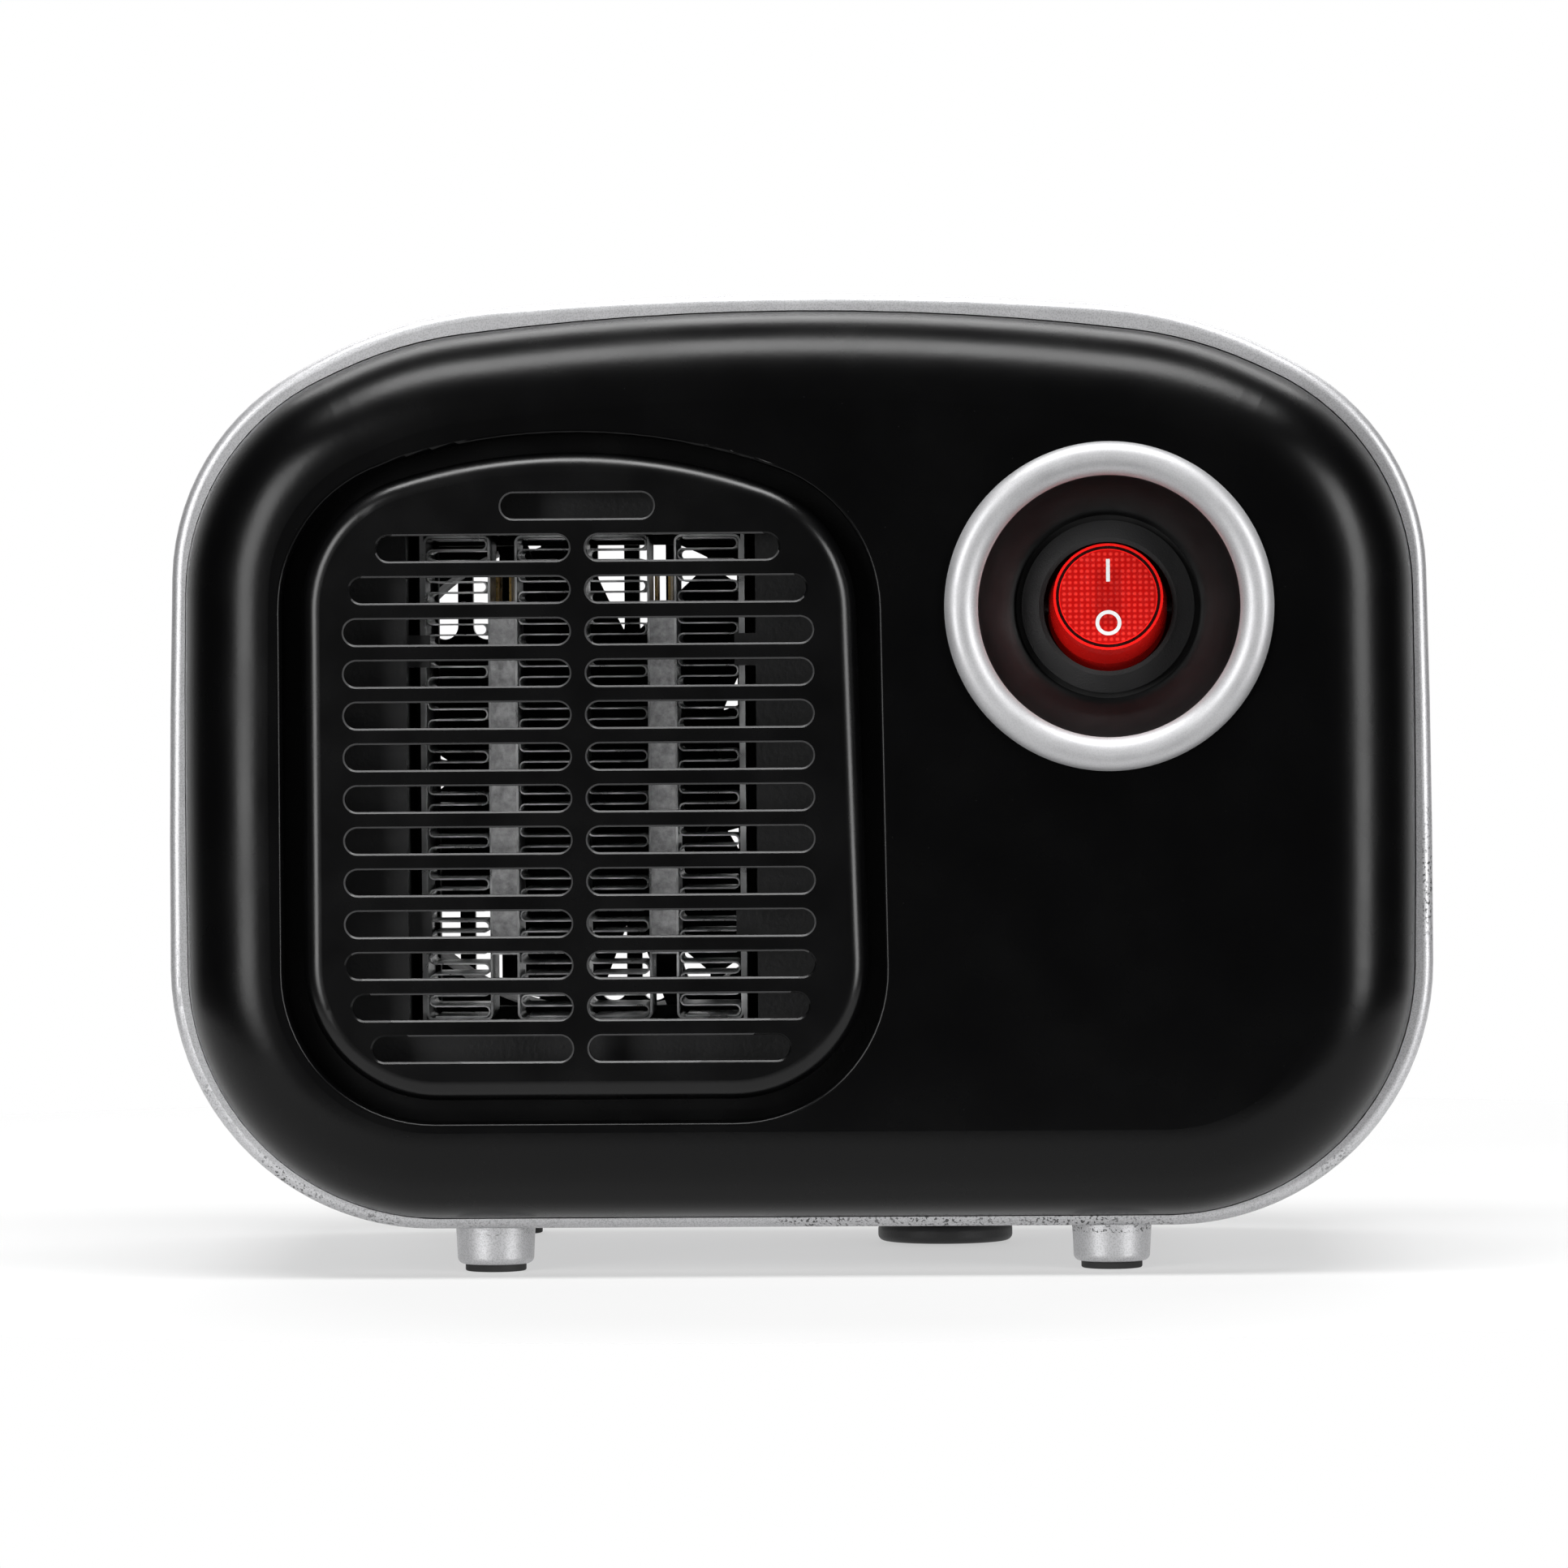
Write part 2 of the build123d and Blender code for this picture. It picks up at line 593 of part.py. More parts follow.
# The rocker is built square to its own face, which leans back at the top when it is on.
lean = radians(ROCKER_TILT)
rocker_plane = Plane(
    origin=(SWITCH_X, PIVOT_Y, SWITCH_Z),
    x_dir=(1, 0, 0),
    z_dir=(0, -cos(lean), sin(lean)),
)
with BuildPart(rocker_plane) as switch_rocker:
    with BuildSketch(rocker_plane.offset(-ROCKER_DEPTH)):
        Circle(ROCKER_RADIUS)
    extrude(amount=ROCKER_DEPTH + ROCKER_FACE_OFFSET)
    chamfer(
        switch_rocker.faces().sort_by(Axis(rocker_plane.origin, rocker_plane.z_dir))[-1].edges(),
        length=ROCKER_FACE_OFFSET - 0.4,
        length2=ROCKER_RADIUS - ROCKER_FACE_RADIUS,
    )
    with BuildSketch(rocker_plane.offset(-ROCKER_DEPTH - 1)):
        Circle(ROCKER_RADIUS - ROCKER_SKIN)
    extrude(amount=ROCKER_DEPTH + 1 + ROCKER_FACE_OFFSET - ROCKER_SKIN, mode=Mode.SUBTRACT)
    with BuildSketch(rocker_plane.offset(-ROCKER_DEPTH)):
        Rectangle(PLUNGER_BRIDGE, 2 * ROCKER_RADIUS - 1)
    extrude(amount=1.2)
    with BuildSketch(rocker_plane.offset(-ROCKER_DEPTH - 1)):
        Circle(PLUNGER_RADIUS + RUNNING_GAP)
    extrude(amount=ROCKER_DEPTH + 1, mode=Mode.SUBTRACT)
    with Locations(Location((0, 0, 0), (0, 90, 0))):
        Cylinder(PIVOT_RADIUS + RUNNING_GAP, 2 * ROCKER_RADIUS + 2, mode=Mode.SUBTRACT)
save("switch_rocker", switch_rocker.part)

with BuildPart(rocker_plane) as rocker_marks:
    with BuildSketch(rocker_plane.offset(ROCKER_FACE_OFFSET)):
        with Locations((0, MARK_OFFSET)):
            Rectangle(MARK_STROKE, MARK_BAR_HEIGHT)
        with Locations((0, -MARK_OFFSET)):
            Circle(MARK_RING_RADIUS)
            Circle(MARK_RING_RADIUS - MARK_STROKE, mode=Mode.SUBTRACT)
    extrude(amount=MARK_THICKNESS)
save("rocker_marks", rocker_marks.part)

with BuildPart(rocker_plane) as rocker_plunger:
    with BuildSketch(rocker_plane.offset(-PLUNGER_TIP)):
        Circle(PLUNGER_RADIUS)
    extrude(amount=PLUNGER_TIP - 0.5)
    fillet(
        rocker_plunger.faces().sort_by(Axis(rocker_plane.origin, rocker_plane.z_dir))[0].edges(),
        radius=PLUNGER_RADIUS - 0.15,
    )
save("rocker_plunger", rocker_plunger.part)

lamp_plane = rocker_plane.offset(LAMP_DEPTH)
with BuildPart(lamp_plane) as indicator_lamp:
    with Locations(Location((0, 0, 0), (90, 0, 0))):
        Cylinder(LAMP_RADIUS, LAMP_LENGTH)
    fillet(indicator_lamp.edges().filter_by(GeomType.CIRCLE), radius=LAMP_RADIUS - 0.2)
save("indicator_lamp", indicator_lamp.part)

# The blade rocks on a pin through its curl and leans the other way from the rocker.
contact_plane = Plane(origin=(SWITCH_X, CONTACT_Y, SWITCH_Z), x_dir=(1, 0, 0), z_dir=(0, -1, 0))
contact_lean = contact_plane.rotated((CONTACT_TILT, 0, 0))
contact_back = CONTACT_CURL_RADIUS - CONTACT_THICKNESS
with BuildPart(contact_lean) as contact_blade:
    with BuildSketch(contact_lean.offset(contact_back)):
        Rectangle(CONTACT_WIDTH, CONTACT_LENGTH)
    extrude(amount=CONTACT_THICKNESS)
    with BuildSketch(contact_lean.offset(contact_back - CONTACT_DOT_HEIGHT)):
        with Locations((0, CONTACT_DOT_OFFSET), (0, -CONTACT_DOT_OFFSET)):
            Circle(CONTACT_DOT_RADIUS)
    extrude(amount=CONTACT_DOT_HEIGHT)
    with Locations(Location((0, 0, 0), (0, 90, 0))):
        Cylinder(CONTACT_CURL_RADIUS, CONTACT_WIDTH)
        Cylinder(CONTACT_PIN_RADIUS + RUNNING_GAP, CONTACT_WIDTH + 2, mode=Mode.SUBTRACT)
save("contact_blade", contact_blade.part)

# The middle terminal ends in a fork that holds the blade's pin; the outer two wait behind its dots.
cavity_back_y = SWITCH_BACK_Y - SWITCH_FLOOR
with BuildPart() as switch_terminals:
    for terminal_z in TERMINAL_OFFSETS:
        front_y = TERMINAL_FRONT_Y if terminal_z else cavity_back_y
        plate(SWITCH_X, SWITCH_Z + terminal_z, TERMINAL_WIDTH, TERMINAL_THICKNESS, TERMINAL_BACK_Y, front_y)
    with Locations(*[(SWITCH_X, TERMINAL_BACK_Y - 3.5, SWITCH_Z + z) for z in TERMINAL_OFFSETS]):
        Cylinder(TERMINAL_HOLE_RADIUS, 3, mode=Mode.SUBTRACT)
    for side in (-1, 1):
        fork_x = SWITCH_X + side * FORK_X
        plate(fork_x, SWITCH_Z, FORK_WIDTH, FORK_HEIGHT, cavity_back_y, CONTACT_Y - FORK_HEIGHT / 2)
    plate(SWITCH_X, SWITCH_Z, 2 * FORK_X, FORK_HEIGHT, cavity_back_y, cavity_back_y - 1)
    with Locations(Location((SWITCH_X, CONTACT_Y, SWITCH_Z), (0, 90, 0))):
        Cylinder(CONTACT_PIN_RADIUS, 2 * FORK_X)
save("switch_terminals", switch_terminals.part)

# ---------------------------------------------------------------- heating element
casing_offsets = [
    -MIDDLE_GAP / 2 - CASING_WIDTH * 1.5 - TUBE_WIDTH,
    -MIDDLE_GAP / 2 - CASING_WIDTH * 0.5,
    MIDDLE_GAP / 2 + CASING_WIDTH * 0.5,
    MIDDLE_GAP / 2 + CASING_WIDTH * 1.5 + TUBE_WIDTH,
]
tube_offsets = [side * (MIDDLE_GAP / 2 + CASING_WIDTH + TUBE_WIDTH / 2) for side in (-1, 1)]
side_offset = MIDDLE_GAP / 2 + 2 * CASING_WIDTH + TUBE_WIDTH + SIDE_PLATE / 2
element_back_y = ELEMENT_FRONT_Y + ELEMENT_DEPTH
fin_room = CASING_HEIGHT - 2 * CASING_WALL
fin_pitch = (fin_room - FIN_THICKNESS - 2 * FIN_GAP) / (FIN_RUNS - 1)
fin_half = CASING_WIDTH / 2 - CASING_WALL - FIN_GAP - (fin_pitch + FIN_THICKNESS) / 2


def fin_side(side):
    """One side of the folded ribbon: straight runs joined by half-circle folds."""
    first_z = -(FIN_RUNS - 1) * fin_pitch / 2
    for run in range(FIN_RUNS):
        heading = 1 if run % 2 == 0 else -1
        z = first_z + run * fin_pitch + side * heading * FIN_THICKNESS / 2
        Line((-heading * fin_half, z), (heading * fin_half, z))
        if run < FIN_RUNS - 1:
            next_z = first_z + (run + 1) * fin_pitch - side * heading * FIN_THICKNESS / 2
            fold_radius = (next_z - z) / 2
            ThreePointArc(
                (heading * fin_half, z),
                (heading * (fin_half + fold_radius), z + fold_radius),
                (heading * fin_half, next_z),
            )


def ribbon_ends():
    """Short lines that close the ribbon at its first and last run."""
    first_z = -(FIN_RUNS - 1) * fin_pitch / 2
    last_heading = 1 if (FIN_RUNS - 1) % 2 == 0 else -1
    for x, z in ((-fin_half, first_z), (last_heading * fin_half, -first_z)):
        Line((x, z - FIN_THICKNESS / 2), (x, z + FIN_THICKNESS / 2))


for index, casing_x in enumerate(casing_offsets, start=1):
    with BuildPart() as fin_casing:
        with BuildSketch(at_depth(element_back_y)):
            with Locations((AIR_X + casing_x, AIR_Z)):
                RectangleRounded(CASING_WIDTH, CASING_HEIGHT, CASING_CORNER)
                RectangleRounded(
                    CASING_WIDTH - 2 * CASING_WALL,
                    CASING_HEIGHT - 2 * CASING_WALL,
                    CASING_CORNER - CASING_WALL,
                    mode=Mode.SUBTRACT,
                )
        extrude(amount=ELEMENT_DEPTH)
    save(f"fin_casing_{index}", fin_casing.part)

    with BuildPart() as fin_ribbon:
        with BuildSketch(round_plane(AIR_X + casing_x, element_back_y - FIN_INSET, AIR_Z)):
            with BuildLine():
                fin_side(1)
                fin_side(-1)
                ribbon_ends()
            make_face()
        extrude(amount=ELEMENT_DEPTH - 2 * FIN_INSET)
    save(f"fin_ribbon_{index}", fin_ribbon.part)

stone_height = (TUBE_HEIGHT - 4.0) / STONE_COUNT
stone_places = [AIR_Z + (step - (STONE_COUNT - 1) / 2) * stone_height for step in range(STONE_COUNT)]
for name, tube_x in zip(("left", "right"), tube_offsets):
    with BuildPart() as heater_tube:
        plate(AIR_X + tube_x, AIR_Z, TUBE_WIDTH, TUBE_HEIGHT, element_back_y, ELEMENT_FRONT_Y)
        plate(
            AIR_X + tube_x,
            AIR_Z,
            TUBE_WIDTH - 2 * TUBE_WALL,
            TUBE_HEIGHT + 2,
            element_back_y - TUBE_WALL,
            ELEMENT_FRONT_Y + TUBE_WALL,
            Mode.SUBTRACT,
        )
    save(f"heater_tube_{name}", heater_tube.part)

    with BuildPart() as ceramic_stones:
        for stone_z in stone_places:
            plate(
                AIR_X + tube_x,
                stone_z,
                STONE_THICKNESS,
                stone_height - 0.2,
                element_back_y - 1.2,
                ELEMENT_FRONT_Y + 1.2,
            )
    save(f"ceramic_stones_{name}", ceramic_stones.part)

with BuildPart() as electrode_strips:
    for tube_x in tube_offsets:
        for side in (-1, 1):
            strip_x = AIR_X + tube_x + side * (STONE_THICKNESS + ELECTRODE_THICKNESS) / 2
            plate(
                strip_x,
                AIR_Z + ELECTRODE_LIFT,
                ELECTRODE_THICKNESS,
                TUBE_HEIGHT + 2 * ELECTRODE_LIFT - 3,
                element_back_y - 2,
                ELEMENT_FRONT_Y + 3,
            )
save("electrode_strips", electrode_strips.part)

with BuildPart() as side_plates:
    for side in (-1, 1):
        plate(AIR_X + side * side_offset, AIR_Z, SIDE_PLATE, CASING_HEIGHT, element_back_y, ELEMENT_FRONT_Y)
save("side_plates", side_plates.part)

# ---------------------------------------------------------------- element holder and fan duct
with BuildPart() as element_holder:
    with BuildSketch(at_depth(GRILLE_BACK_Y + HOLDER_PLATE)):
        outline(GRILLE, HOLDER_GROW)
    extrude(amount=HOLDER_PLATE)
    holder_front_y = GRILLE_BACK_Y + HOLDER_PLATE
    tube_width = HOLDER_WIDTH + 2 * HOLDER_WALL
    tube_height = HOLDER_HEIGHT + 2 * HOLDER_WALL
    plate(AIR_X, AIR_Z, tube_width, tube_height, HOLDER_BACK_Y, holder_front_y)
    plate(AIR_X, AIR_Z, FAN_SIZE, FAN_SIZE, HOLDER_BACK_Y, HOLDER_BACK_Y - HOLDER_WALL, corner=3)
    fan_holes = [(AIR_X + x * FAN_HOLE_OFFSET, AIR_Z + z * FAN_HOLE_OFFSET) for x in (-1, 1) for z in (-1, 1)]
    rods(fan_holes, HOLDER_BACK_Y, HOLDER_BACK_Y - 9, 3.2)
    plate(AIR_X, AIR_Z, HOLDER_WIDTH, HOLDER_HEIGHT, element_back_y, GRILLE_BACK_Y - 1, Mode.SUBTRACT)
    plate(
        AIR_X,
        AIR_Z,
        HOLDER_WIDTH - 2 * HOLDER_STOP_X,
        HOLDER_HEIGHT - 2 * HOLDER_STOP_Z,
        HOLDER_BACK_Y + 1,
        element_back_y - 1,
        Mode.SUBTRACT,
    )
    for side in (-1, 1):
        for clip_z in CLIP_OFFSETS:
            plate(
                AIR_X + side * (HOLDER_WIDTH / 2 - CLIP_REACH / 2),
                AIR_Z + clip_z,
                CLIP_REACH,
                CLIP_HEIGHT,
                ELEMENT_FRONT_Y - 0.1,
                ELEMENT_FRONT_Y - 0.1 - CLIP_THICKNESS,
            )
    rods(grille_posts, GRILLE_BACK_Y + 3, GRILLE_BACK_Y - 1, HOLDER_SCREW_RADIUS + 0.2, Mode.SUBTRACT)
    rods(fan_holes, HOLDER_BACK_Y + 1, HOLDER_BACK_Y - 8, FAN_SCREW_RADIUS + PILOT_GAP, Mode.SUBTRACT)
save("element_holder", element_holder.part)

with BuildPart() as holder_screws:
    rods(grille_posts, GRILLE_BACK_Y + HOLDER_PLATE + 1.2, GRILLE_BACK_Y + HOLDER_PLATE, 1.9)
    rods(grille_posts, GRILLE_BACK_Y + HOLDER_PLATE, GRILLE_BACK_Y - 4.5, HOLDER_SCREW_RADIUS)
save("holder_screws", holder_screws.part)

duct_back_y = FAN_FRONT_Y
with BuildPart() as fan_duct:
    plate(AIR_X, AIR_Z, FAN_SIZE, FAN_SIZE, duct_back_y, HOLDER_BACK_Y, corner=3)
    plate(
        AIR_X,
        AIR_Z,
        FAN_SIZE - 2 * HOLDER_WALL,
        FAN_SIZE - 2 * HOLDER_WALL,
        duct_back_y + 1,
        HOLDER_BACK_Y - 1,
        Mode.SUBTRACT,
        corner=1.5,
    )
    rods(fan_holes, duct_back_y, HOLDER_BACK_Y, 3.6)
    rods(fan_holes, duct_back_y + 1, HOLDER_BACK_Y - 1, FAN_SCREW_RADIUS + SCREW_CLEARANCE, Mode.SUBTRACT)
save("fan_duct", fan_duct.part)

# ---------------------------------------------------------------- boxed axial fan
# Built on a plane at the fan's rear face that looks forwards, so heights run towards the front.
fan_back_y = FAN_FRONT_Y + FAN_DEPTH


def fan_plane(height=0.0):
    """Plane across the fan axis at a height above the fan's rear face."""
    return round_plane(AIR_X, fan_back_y - height, AIR_Z)


def fan_tube(outer, inner, low, high, mode=Mode.ADD):
    """Round tube on the fan axis between two heights above the fan's rear face."""
    with BuildSketch(fan_plane(low)) as section:
        Circle(outer)
        if inner:
            Circle(inner, mode=Mode.SUBTRACT)
    extrude(section.sketch, amount=high - low, mode=mode)


with BuildPart() as fan_frame:
    with BuildSketch(fan_plane()):
        RectangleRounded(FAN_SIZE, FAN_SIZE, 4)
        Circle(FAN_OPENING_RADIUS, mode=Mode.SUBTRACT)
    extrude(amount=FAN_DEPTH)
    fan_tube(HUB_RADIUS, 0, FAN_DEPTH - HUB_PLATE, FAN_DEPTH)
    with BuildSketch(fan_plane(FAN_DEPTH - STRUT_DEPTH)):
        with PolarLocations(0, 4, start_angle=20):
            with Locations((FAN_OPENING_RADIUS / 2 + HUB_RADIUS / 2, 0)):
                Rectangle(FAN_OPENING_RADIUS - HUB_RADIUS + 3, STRUT_WIDTH)
    extrude(amount=STRUT_DEPTH)
    fan_tube(BEARING_TUBE_RADIUS, 0, BEARING_TUBE_LOW, FAN_DEPTH - HUB_PLATE)
    fan_tube(BEARING_RADIUS, 0, BEARING_TUBE_LOW - 1, FAN_DEPTH - HUB_PLATE, Mode.SUBTRACT)
    rods(fan_holes, fan_back_y + 1, FAN_FRONT_Y - 1, FAN_SCREW_RADIUS + SCREW_CLEARANCE, Mode.SUBTRACT)
save("fan_frame", fan_frame.part)

with BuildPart() as fan_blade:
    for reach, pitch_angle in ((HUB_RADIUS - 1.5, BLADE_ROOT_PITCH), (BLADE_TIP_RADIUS + 1, BLADE_TIP_PITCH)):
        blade_root = (AIR_X + reach, fan_back_y - FAN_DEPTH / 2, AIR_Z)
        with BuildSketch(Plane(origin=blade_root, x_dir=(0, 1, 0), z_dir=(1, 0, 0))):
            Rectangle(BLADE_CHORD, BLADE_THICKNESS, rotation=pitch_angle)
    loft()
    with BuildPart(mode=Mode.PRIVATE) as blade_room:
        fan_tube(BLADE_TIP_RADIUS, HUB_RADIUS - 0.5, BLADE_LOW, BLADE_HIGH)
    add(blade_room.part, mode=Mode.INTERSECT)

with BuildPart() as fan_impeller:
    fan_tube(HUB_RADIUS, HUB_RADIUS - HUB_WALL, HUB_LOW, HUB_HIGH)
    fan_tube(HUB_RADIUS, 0, HUB_LOW, HUB_LOW + HUB_WALL)
    fillet(fan_impeller.faces().sort_by(Axis.Y)[-1].edges(), radius=1.0)
    fan_tube(SHAFT_BOSS_RADIUS, 0, HUB_LOW + HUB_WALL, HUB_LOW + HUB_WALL + SHAFT_BOSS_LENGTH)
    fan_tube(SHAFT_RADIUS, 0, HUB_LOW + 0.8, HUB_LOW + HUB_WALL + SHAFT_BOSS_LENGTH, Mode.SUBTRACT)
    for blade in range(BLADE_COUNT):
        add(fan_blade.part.rotate(Axis((AIR_X, 0, AIR_Z), (0, 1, 0)), blade * 360 / BLADE_COUNT))
save("fan_impeller", fan_impeller.part)

cup_radius = HUB_RADIUS - HUB_WALL
with BuildPart() as rotor_cup:
    fan_tube(cup_radius, cup_radius - CUP_WALL, HUB_LOW + HUB_WALL, HUB_HIGH - 0.5)
    fan_tube(cup_radius, SHAFT_BOSS_RADIUS, HUB_LOW + HUB_WALL, HUB_LOW + HUB_WALL + CUP_WALL)
save("rotor_cup", rotor_cup.part)

with BuildPart() as rotor_magnet:
    fan_tube(cup_radius - CUP_WALL, cup_radius - CUP_WALL - MAGNET_WALL, MAGNET_LOW, HUB_HIGH - 1.5)
save("rotor_magnet", rotor_magnet.part)

with BuildPart() as fan_shaft:
    fan_tube(SHAFT_RADIUS, 0, HUB_LOW + 0.8, FAN_DEPTH - HUB_PLATE - 0.4)
save("fan_shaft", fan_shaft.part)

with BuildPart() as fan_bearings:
    for bearing_low in (BEARING_TUBE_LOW, FAN_DEPTH - HUB_PLATE - BEARING_LENGTH - 1):
        fan_tube(BEARING_RADIUS, SHAFT_RADIUS + RUNNING_GAP, bearing_low, bearing_low + BEARING_LENGTH)
save("fan_bearings", fan_bearings.part)

stator_radius = cup_radius - CUP_WALL - MAGNET_WALL - 0.6
with BuildPart() as stator_core:
    fan_tube(STATOR_INNER_RADIUS, BEARING_TUBE_RADIUS + PILOT_GAP, STATOR_LOW, STATOR_HIGH)
    with BuildSketch(fan_plane(STATOR_LOW)):
        with PolarLocations(0, 4):
            with Locations(((STATOR_INNER_RADIUS + stator_radius) / 2 - 0.5, 0)):
                Rectangle(stator_radius - STATOR_INNER_RADIUS + 0.4, POLE_WIDTH)
    extrude(amount=STATOR_HIGH - STATOR_LOW)
    with BuildSketch(fan_plane(STATOR_LOW)):
        Circle(stator_radius)
        Circle(stator_radius - 1.2, mode=Mode.SUBTRACT)
        with PolarLocations(0, 4, start_angle=45):
            with Locations((stator_radius, 0)):
                Rectangle(6, 2.4, mode=Mode.SUBTRACT)
    extrude(amount=STATOR_HIGH - STATOR_LOW)
save("stator_core", stator_core.part)

coil_inner = STATOR_INNER_RADIUS + 0.3
coil_outer = stator_radius - 1.8
with BuildPart() as stator_coils:
    for turn in range(4):
        angle = radians(90 * turn)
        pole_plane = Plane(
            origin=(AIR_X, fan_back_y - (STATOR_LOW + STATOR_HIGH) / 2, AIR_Z),
            x_dir=(0, 1, 0),
            z_dir=(cos(angle), 0, sin(angle)),
        )
        with BuildSketch(pole_plane.offset(coil_inner)):
            RectangleRounded(STATOR_HIGH - STATOR_LOW + 2.8, POLE_WIDTH + 2.8, 1.0)
            Rectangle(STATOR_HIGH - STATOR_LOW + 0.1, POLE_WIDTH + 0.1, mode=Mode.SUBTRACT)
        extrude(amount=coil_outer - coil_inner)
save("stator_coils", stator_coils.part)

with BuildPart() as fan_board:
    fan_tube(stator_radius, BEARING_TUBE_RADIUS + 0.1, FAN_BOARD_HEIGHT, FAN_BOARD_HEIGHT + 1.0)
save("fan_board", fan_board.part)

with BuildPart() as fan_screws:
    rods(fan_holes, fan_back_y + 2.0, fan_back_y, 2.8)
    rods(fan_holes, fan_back_y, HOLDER_BACK_Y - 7, FAN_SCREW_RADIUS)
save("fan_screws", fan_screws.part)

# ---------------------------------------------------------------- rear cover and cord gland
cover_outside = slab(SHELL, COVER_FRONT_Y, COVER_Y, roundover=COVER_ROUNDOVER)
cover_inside = slab(
    SHELL,
    COVER_FRONT_Y - 1,
    COVER_Y - WALL,
    grow=-WALL,
    roundover=COVER_ROUNDOVER - WALL,
)
with BuildPart() as rear_cover:
    add(cover_outside)
    add(cover_inside, mode=Mode.SUBTRACT)
    rods(CASE_SCREWS, COVER_Y - 1, REAR_LEDGE_Y + LEDGE_THICKNESS, BOSS_RADIUS)
    rods(CASE_SCREWS, COVER_Y + 1, REAR_LEDGE_Y, SCREW_RADIUS + SCREW_CLEARANCE, Mode.SUBTRACT)
    rods(CASE_SCREWS, COVER_Y + 1, COVER_SCREW_SEAT_Y, SCREW_HEAD_RADIUS + SCREW_CLEARANCE, Mode.SUBTRACT)
    with BuildSketch(at_depth(COVER_Y + 1)):
        with Locations((AIR_X, AIR_Z)):
            with GridLocations(INTAKE_PITCH, INTAKE_LENGTH + INTAKE_BAR, INTAKE_COLUMNS, INTAKE_ROWS):
                SlotOverall(INTAKE_LENGTH, INTAKE_WIDTH, rotation=90)
    extrude(amount=WALL + 2, mode=Mode.SUBTRACT)
    rods([(GLAND_X, GLAND_Z)], COVER_Y + 1, COVER_Y - WALL - 1, GLAND_NECK_RADIUS + 0.05, Mode.SUBTRACT)
save("rear_cover", rear_cover.part)

with BuildPart() as cord_gland:
    rods([(GLAND_X, GLAND_Z)], GLAND_BACK_Y, COVER_Y, GLAND_FLANGE_RADIUS)
    fillet(cord_gland.faces().sort_by(Axis.Y)[-1].edges(), radius=0.8)
    rods([(GLAND_X, GLAND_Z)], COVER_Y, COVER_Y - WALL - 0.1, GLAND_NECK_RADIUS)
    rods([(GLAND_X, GLAND_Z)], COVER_Y - WALL - 0.1, GLAND_FRONT_Y, GLAND_NECK_RADIUS + 1.2)
    rods([(GLAND_X, GLAND_Z)], GLAND_BACK_Y + 1, GLAND_FRONT_Y - 1, GLAND_BORE_RADIUS, Mode.SUBTRACT)
save("cord_gland", cord_gland.part)

with BuildPart() as rear_cover_screws:
    rods(CASE_SCREWS, COVER_SCREW_SEAT_Y + SCREW_HEAD_HEIGHT, COVER_SCREW_SEAT_Y, SCREW_HEAD_RADIUS)
    rods(CASE_SCREWS, COVER_SCREW_SEAT_Y, REAR_LEDGE_Y - 6, SCREW_RADIUS)
    for x, z in CASE_SCREWS:
        plate(x, z, 3.4, 0.8, COVER_SCREW_SEAT_Y + 2.1, COVER_SCREW_SEAT_Y + 1.2, Mode.SUBTRACT)
        plate(x, z, 0.8, 3.4, COVER_SCREW_SEAT_Y + 2.1, COVER_SCREW_SEAT_Y + 1.2, Mode.SUBTRACT)
save("rear_cover_screws", rear_cover_screws.part)

front_seat_y = FRONT_LEDGE_Y + LEDGE_THICKNESS
with BuildPart() as front_shell_screws:
    rods(CASE_SCREWS, front_seat_y + SCREW_HEAD_HEIGHT, front_seat_y, SCREW_HEAD_RADIUS)
    rods(CASE_SCREWS, front_seat_y, FRONT_BOSS_END_Y + 3.5, SCREW_RADIUS)
save("front_shell_screws", front_shell_screws.part)

# ---------------------------------------------------------------- power board
board_back_y = BOARD_FRONT_Y + BOARD_THICKNESS
with BuildPart() as power_board:
    plate(BOARD_X, BOARD_Z, BOARD_WIDTH, BOARD_HEIGHT, board_back_y, BOARD_FRONT_Y, corner=2)
    rods(board_posts, board_back_y + 1, BOARD_FRONT_Y - 1, BOARD_SCREW_RADIUS + 0.2, Mode.SUBTRACT)
save("power_board", power_board.part)

with BuildPart() as board_screws:
    rods(board_posts, board_back_y + 1.4, board_back_y, 2.4)
    rods(board_posts, board_back_y, BOARD_FRONT_Y - 7, BOARD_SCREW_RADIUS)
save("board_screws", board_screws.part)


def board_block(part_size, corner_x, corner_z, start_y=board_back_y):
    """Block standing on the board's rear, its centre offset from the board's own."""
    width, height, depth = part_size
    plate(BOARD_X + corner_x, BOARD_Z + corner_z, width, height, start_y + depth, start_y)


with BuildPart() as film_capacitor:
    board_block(FILM_CAPACITOR_SIZE, *FILM_CAPACITOR_OFFSET)
    fillet(film_capacitor.edges().filter_by(Axis.Y), radius=0.8)
save("film_capacitor", film_capacitor.part)

can_x, can_z = SMOOTHING_CAPACITOR_OFFSET
with BuildPart() as smoothing_capacitor:
    rods(
        [(BOARD_X + can_x, BOARD_Z + can_z)],
        board_back_y + SMOOTHING_CAPACITOR_LENGTH,
        board_back_y,
        SMOOTHING_CAPACITOR_RADIUS,
    )
    fillet(smoothing_capacitor.faces().sort_by(Axis.Y)[-1].edges(), radius=0.6)
save("smoothing_capacitor", smoothing_capacitor.part)

with BuildPart() as bridge_rectifier:
    board_block(RECTIFIER_SIZE, *RECTIFIER_OFFSET)
    chamfer(bridge_rectifier.faces().sort_by(Axis.Y)[-1].edges(), length=0.5)
save("bridge_rectifier", bridge_rectifier.part)

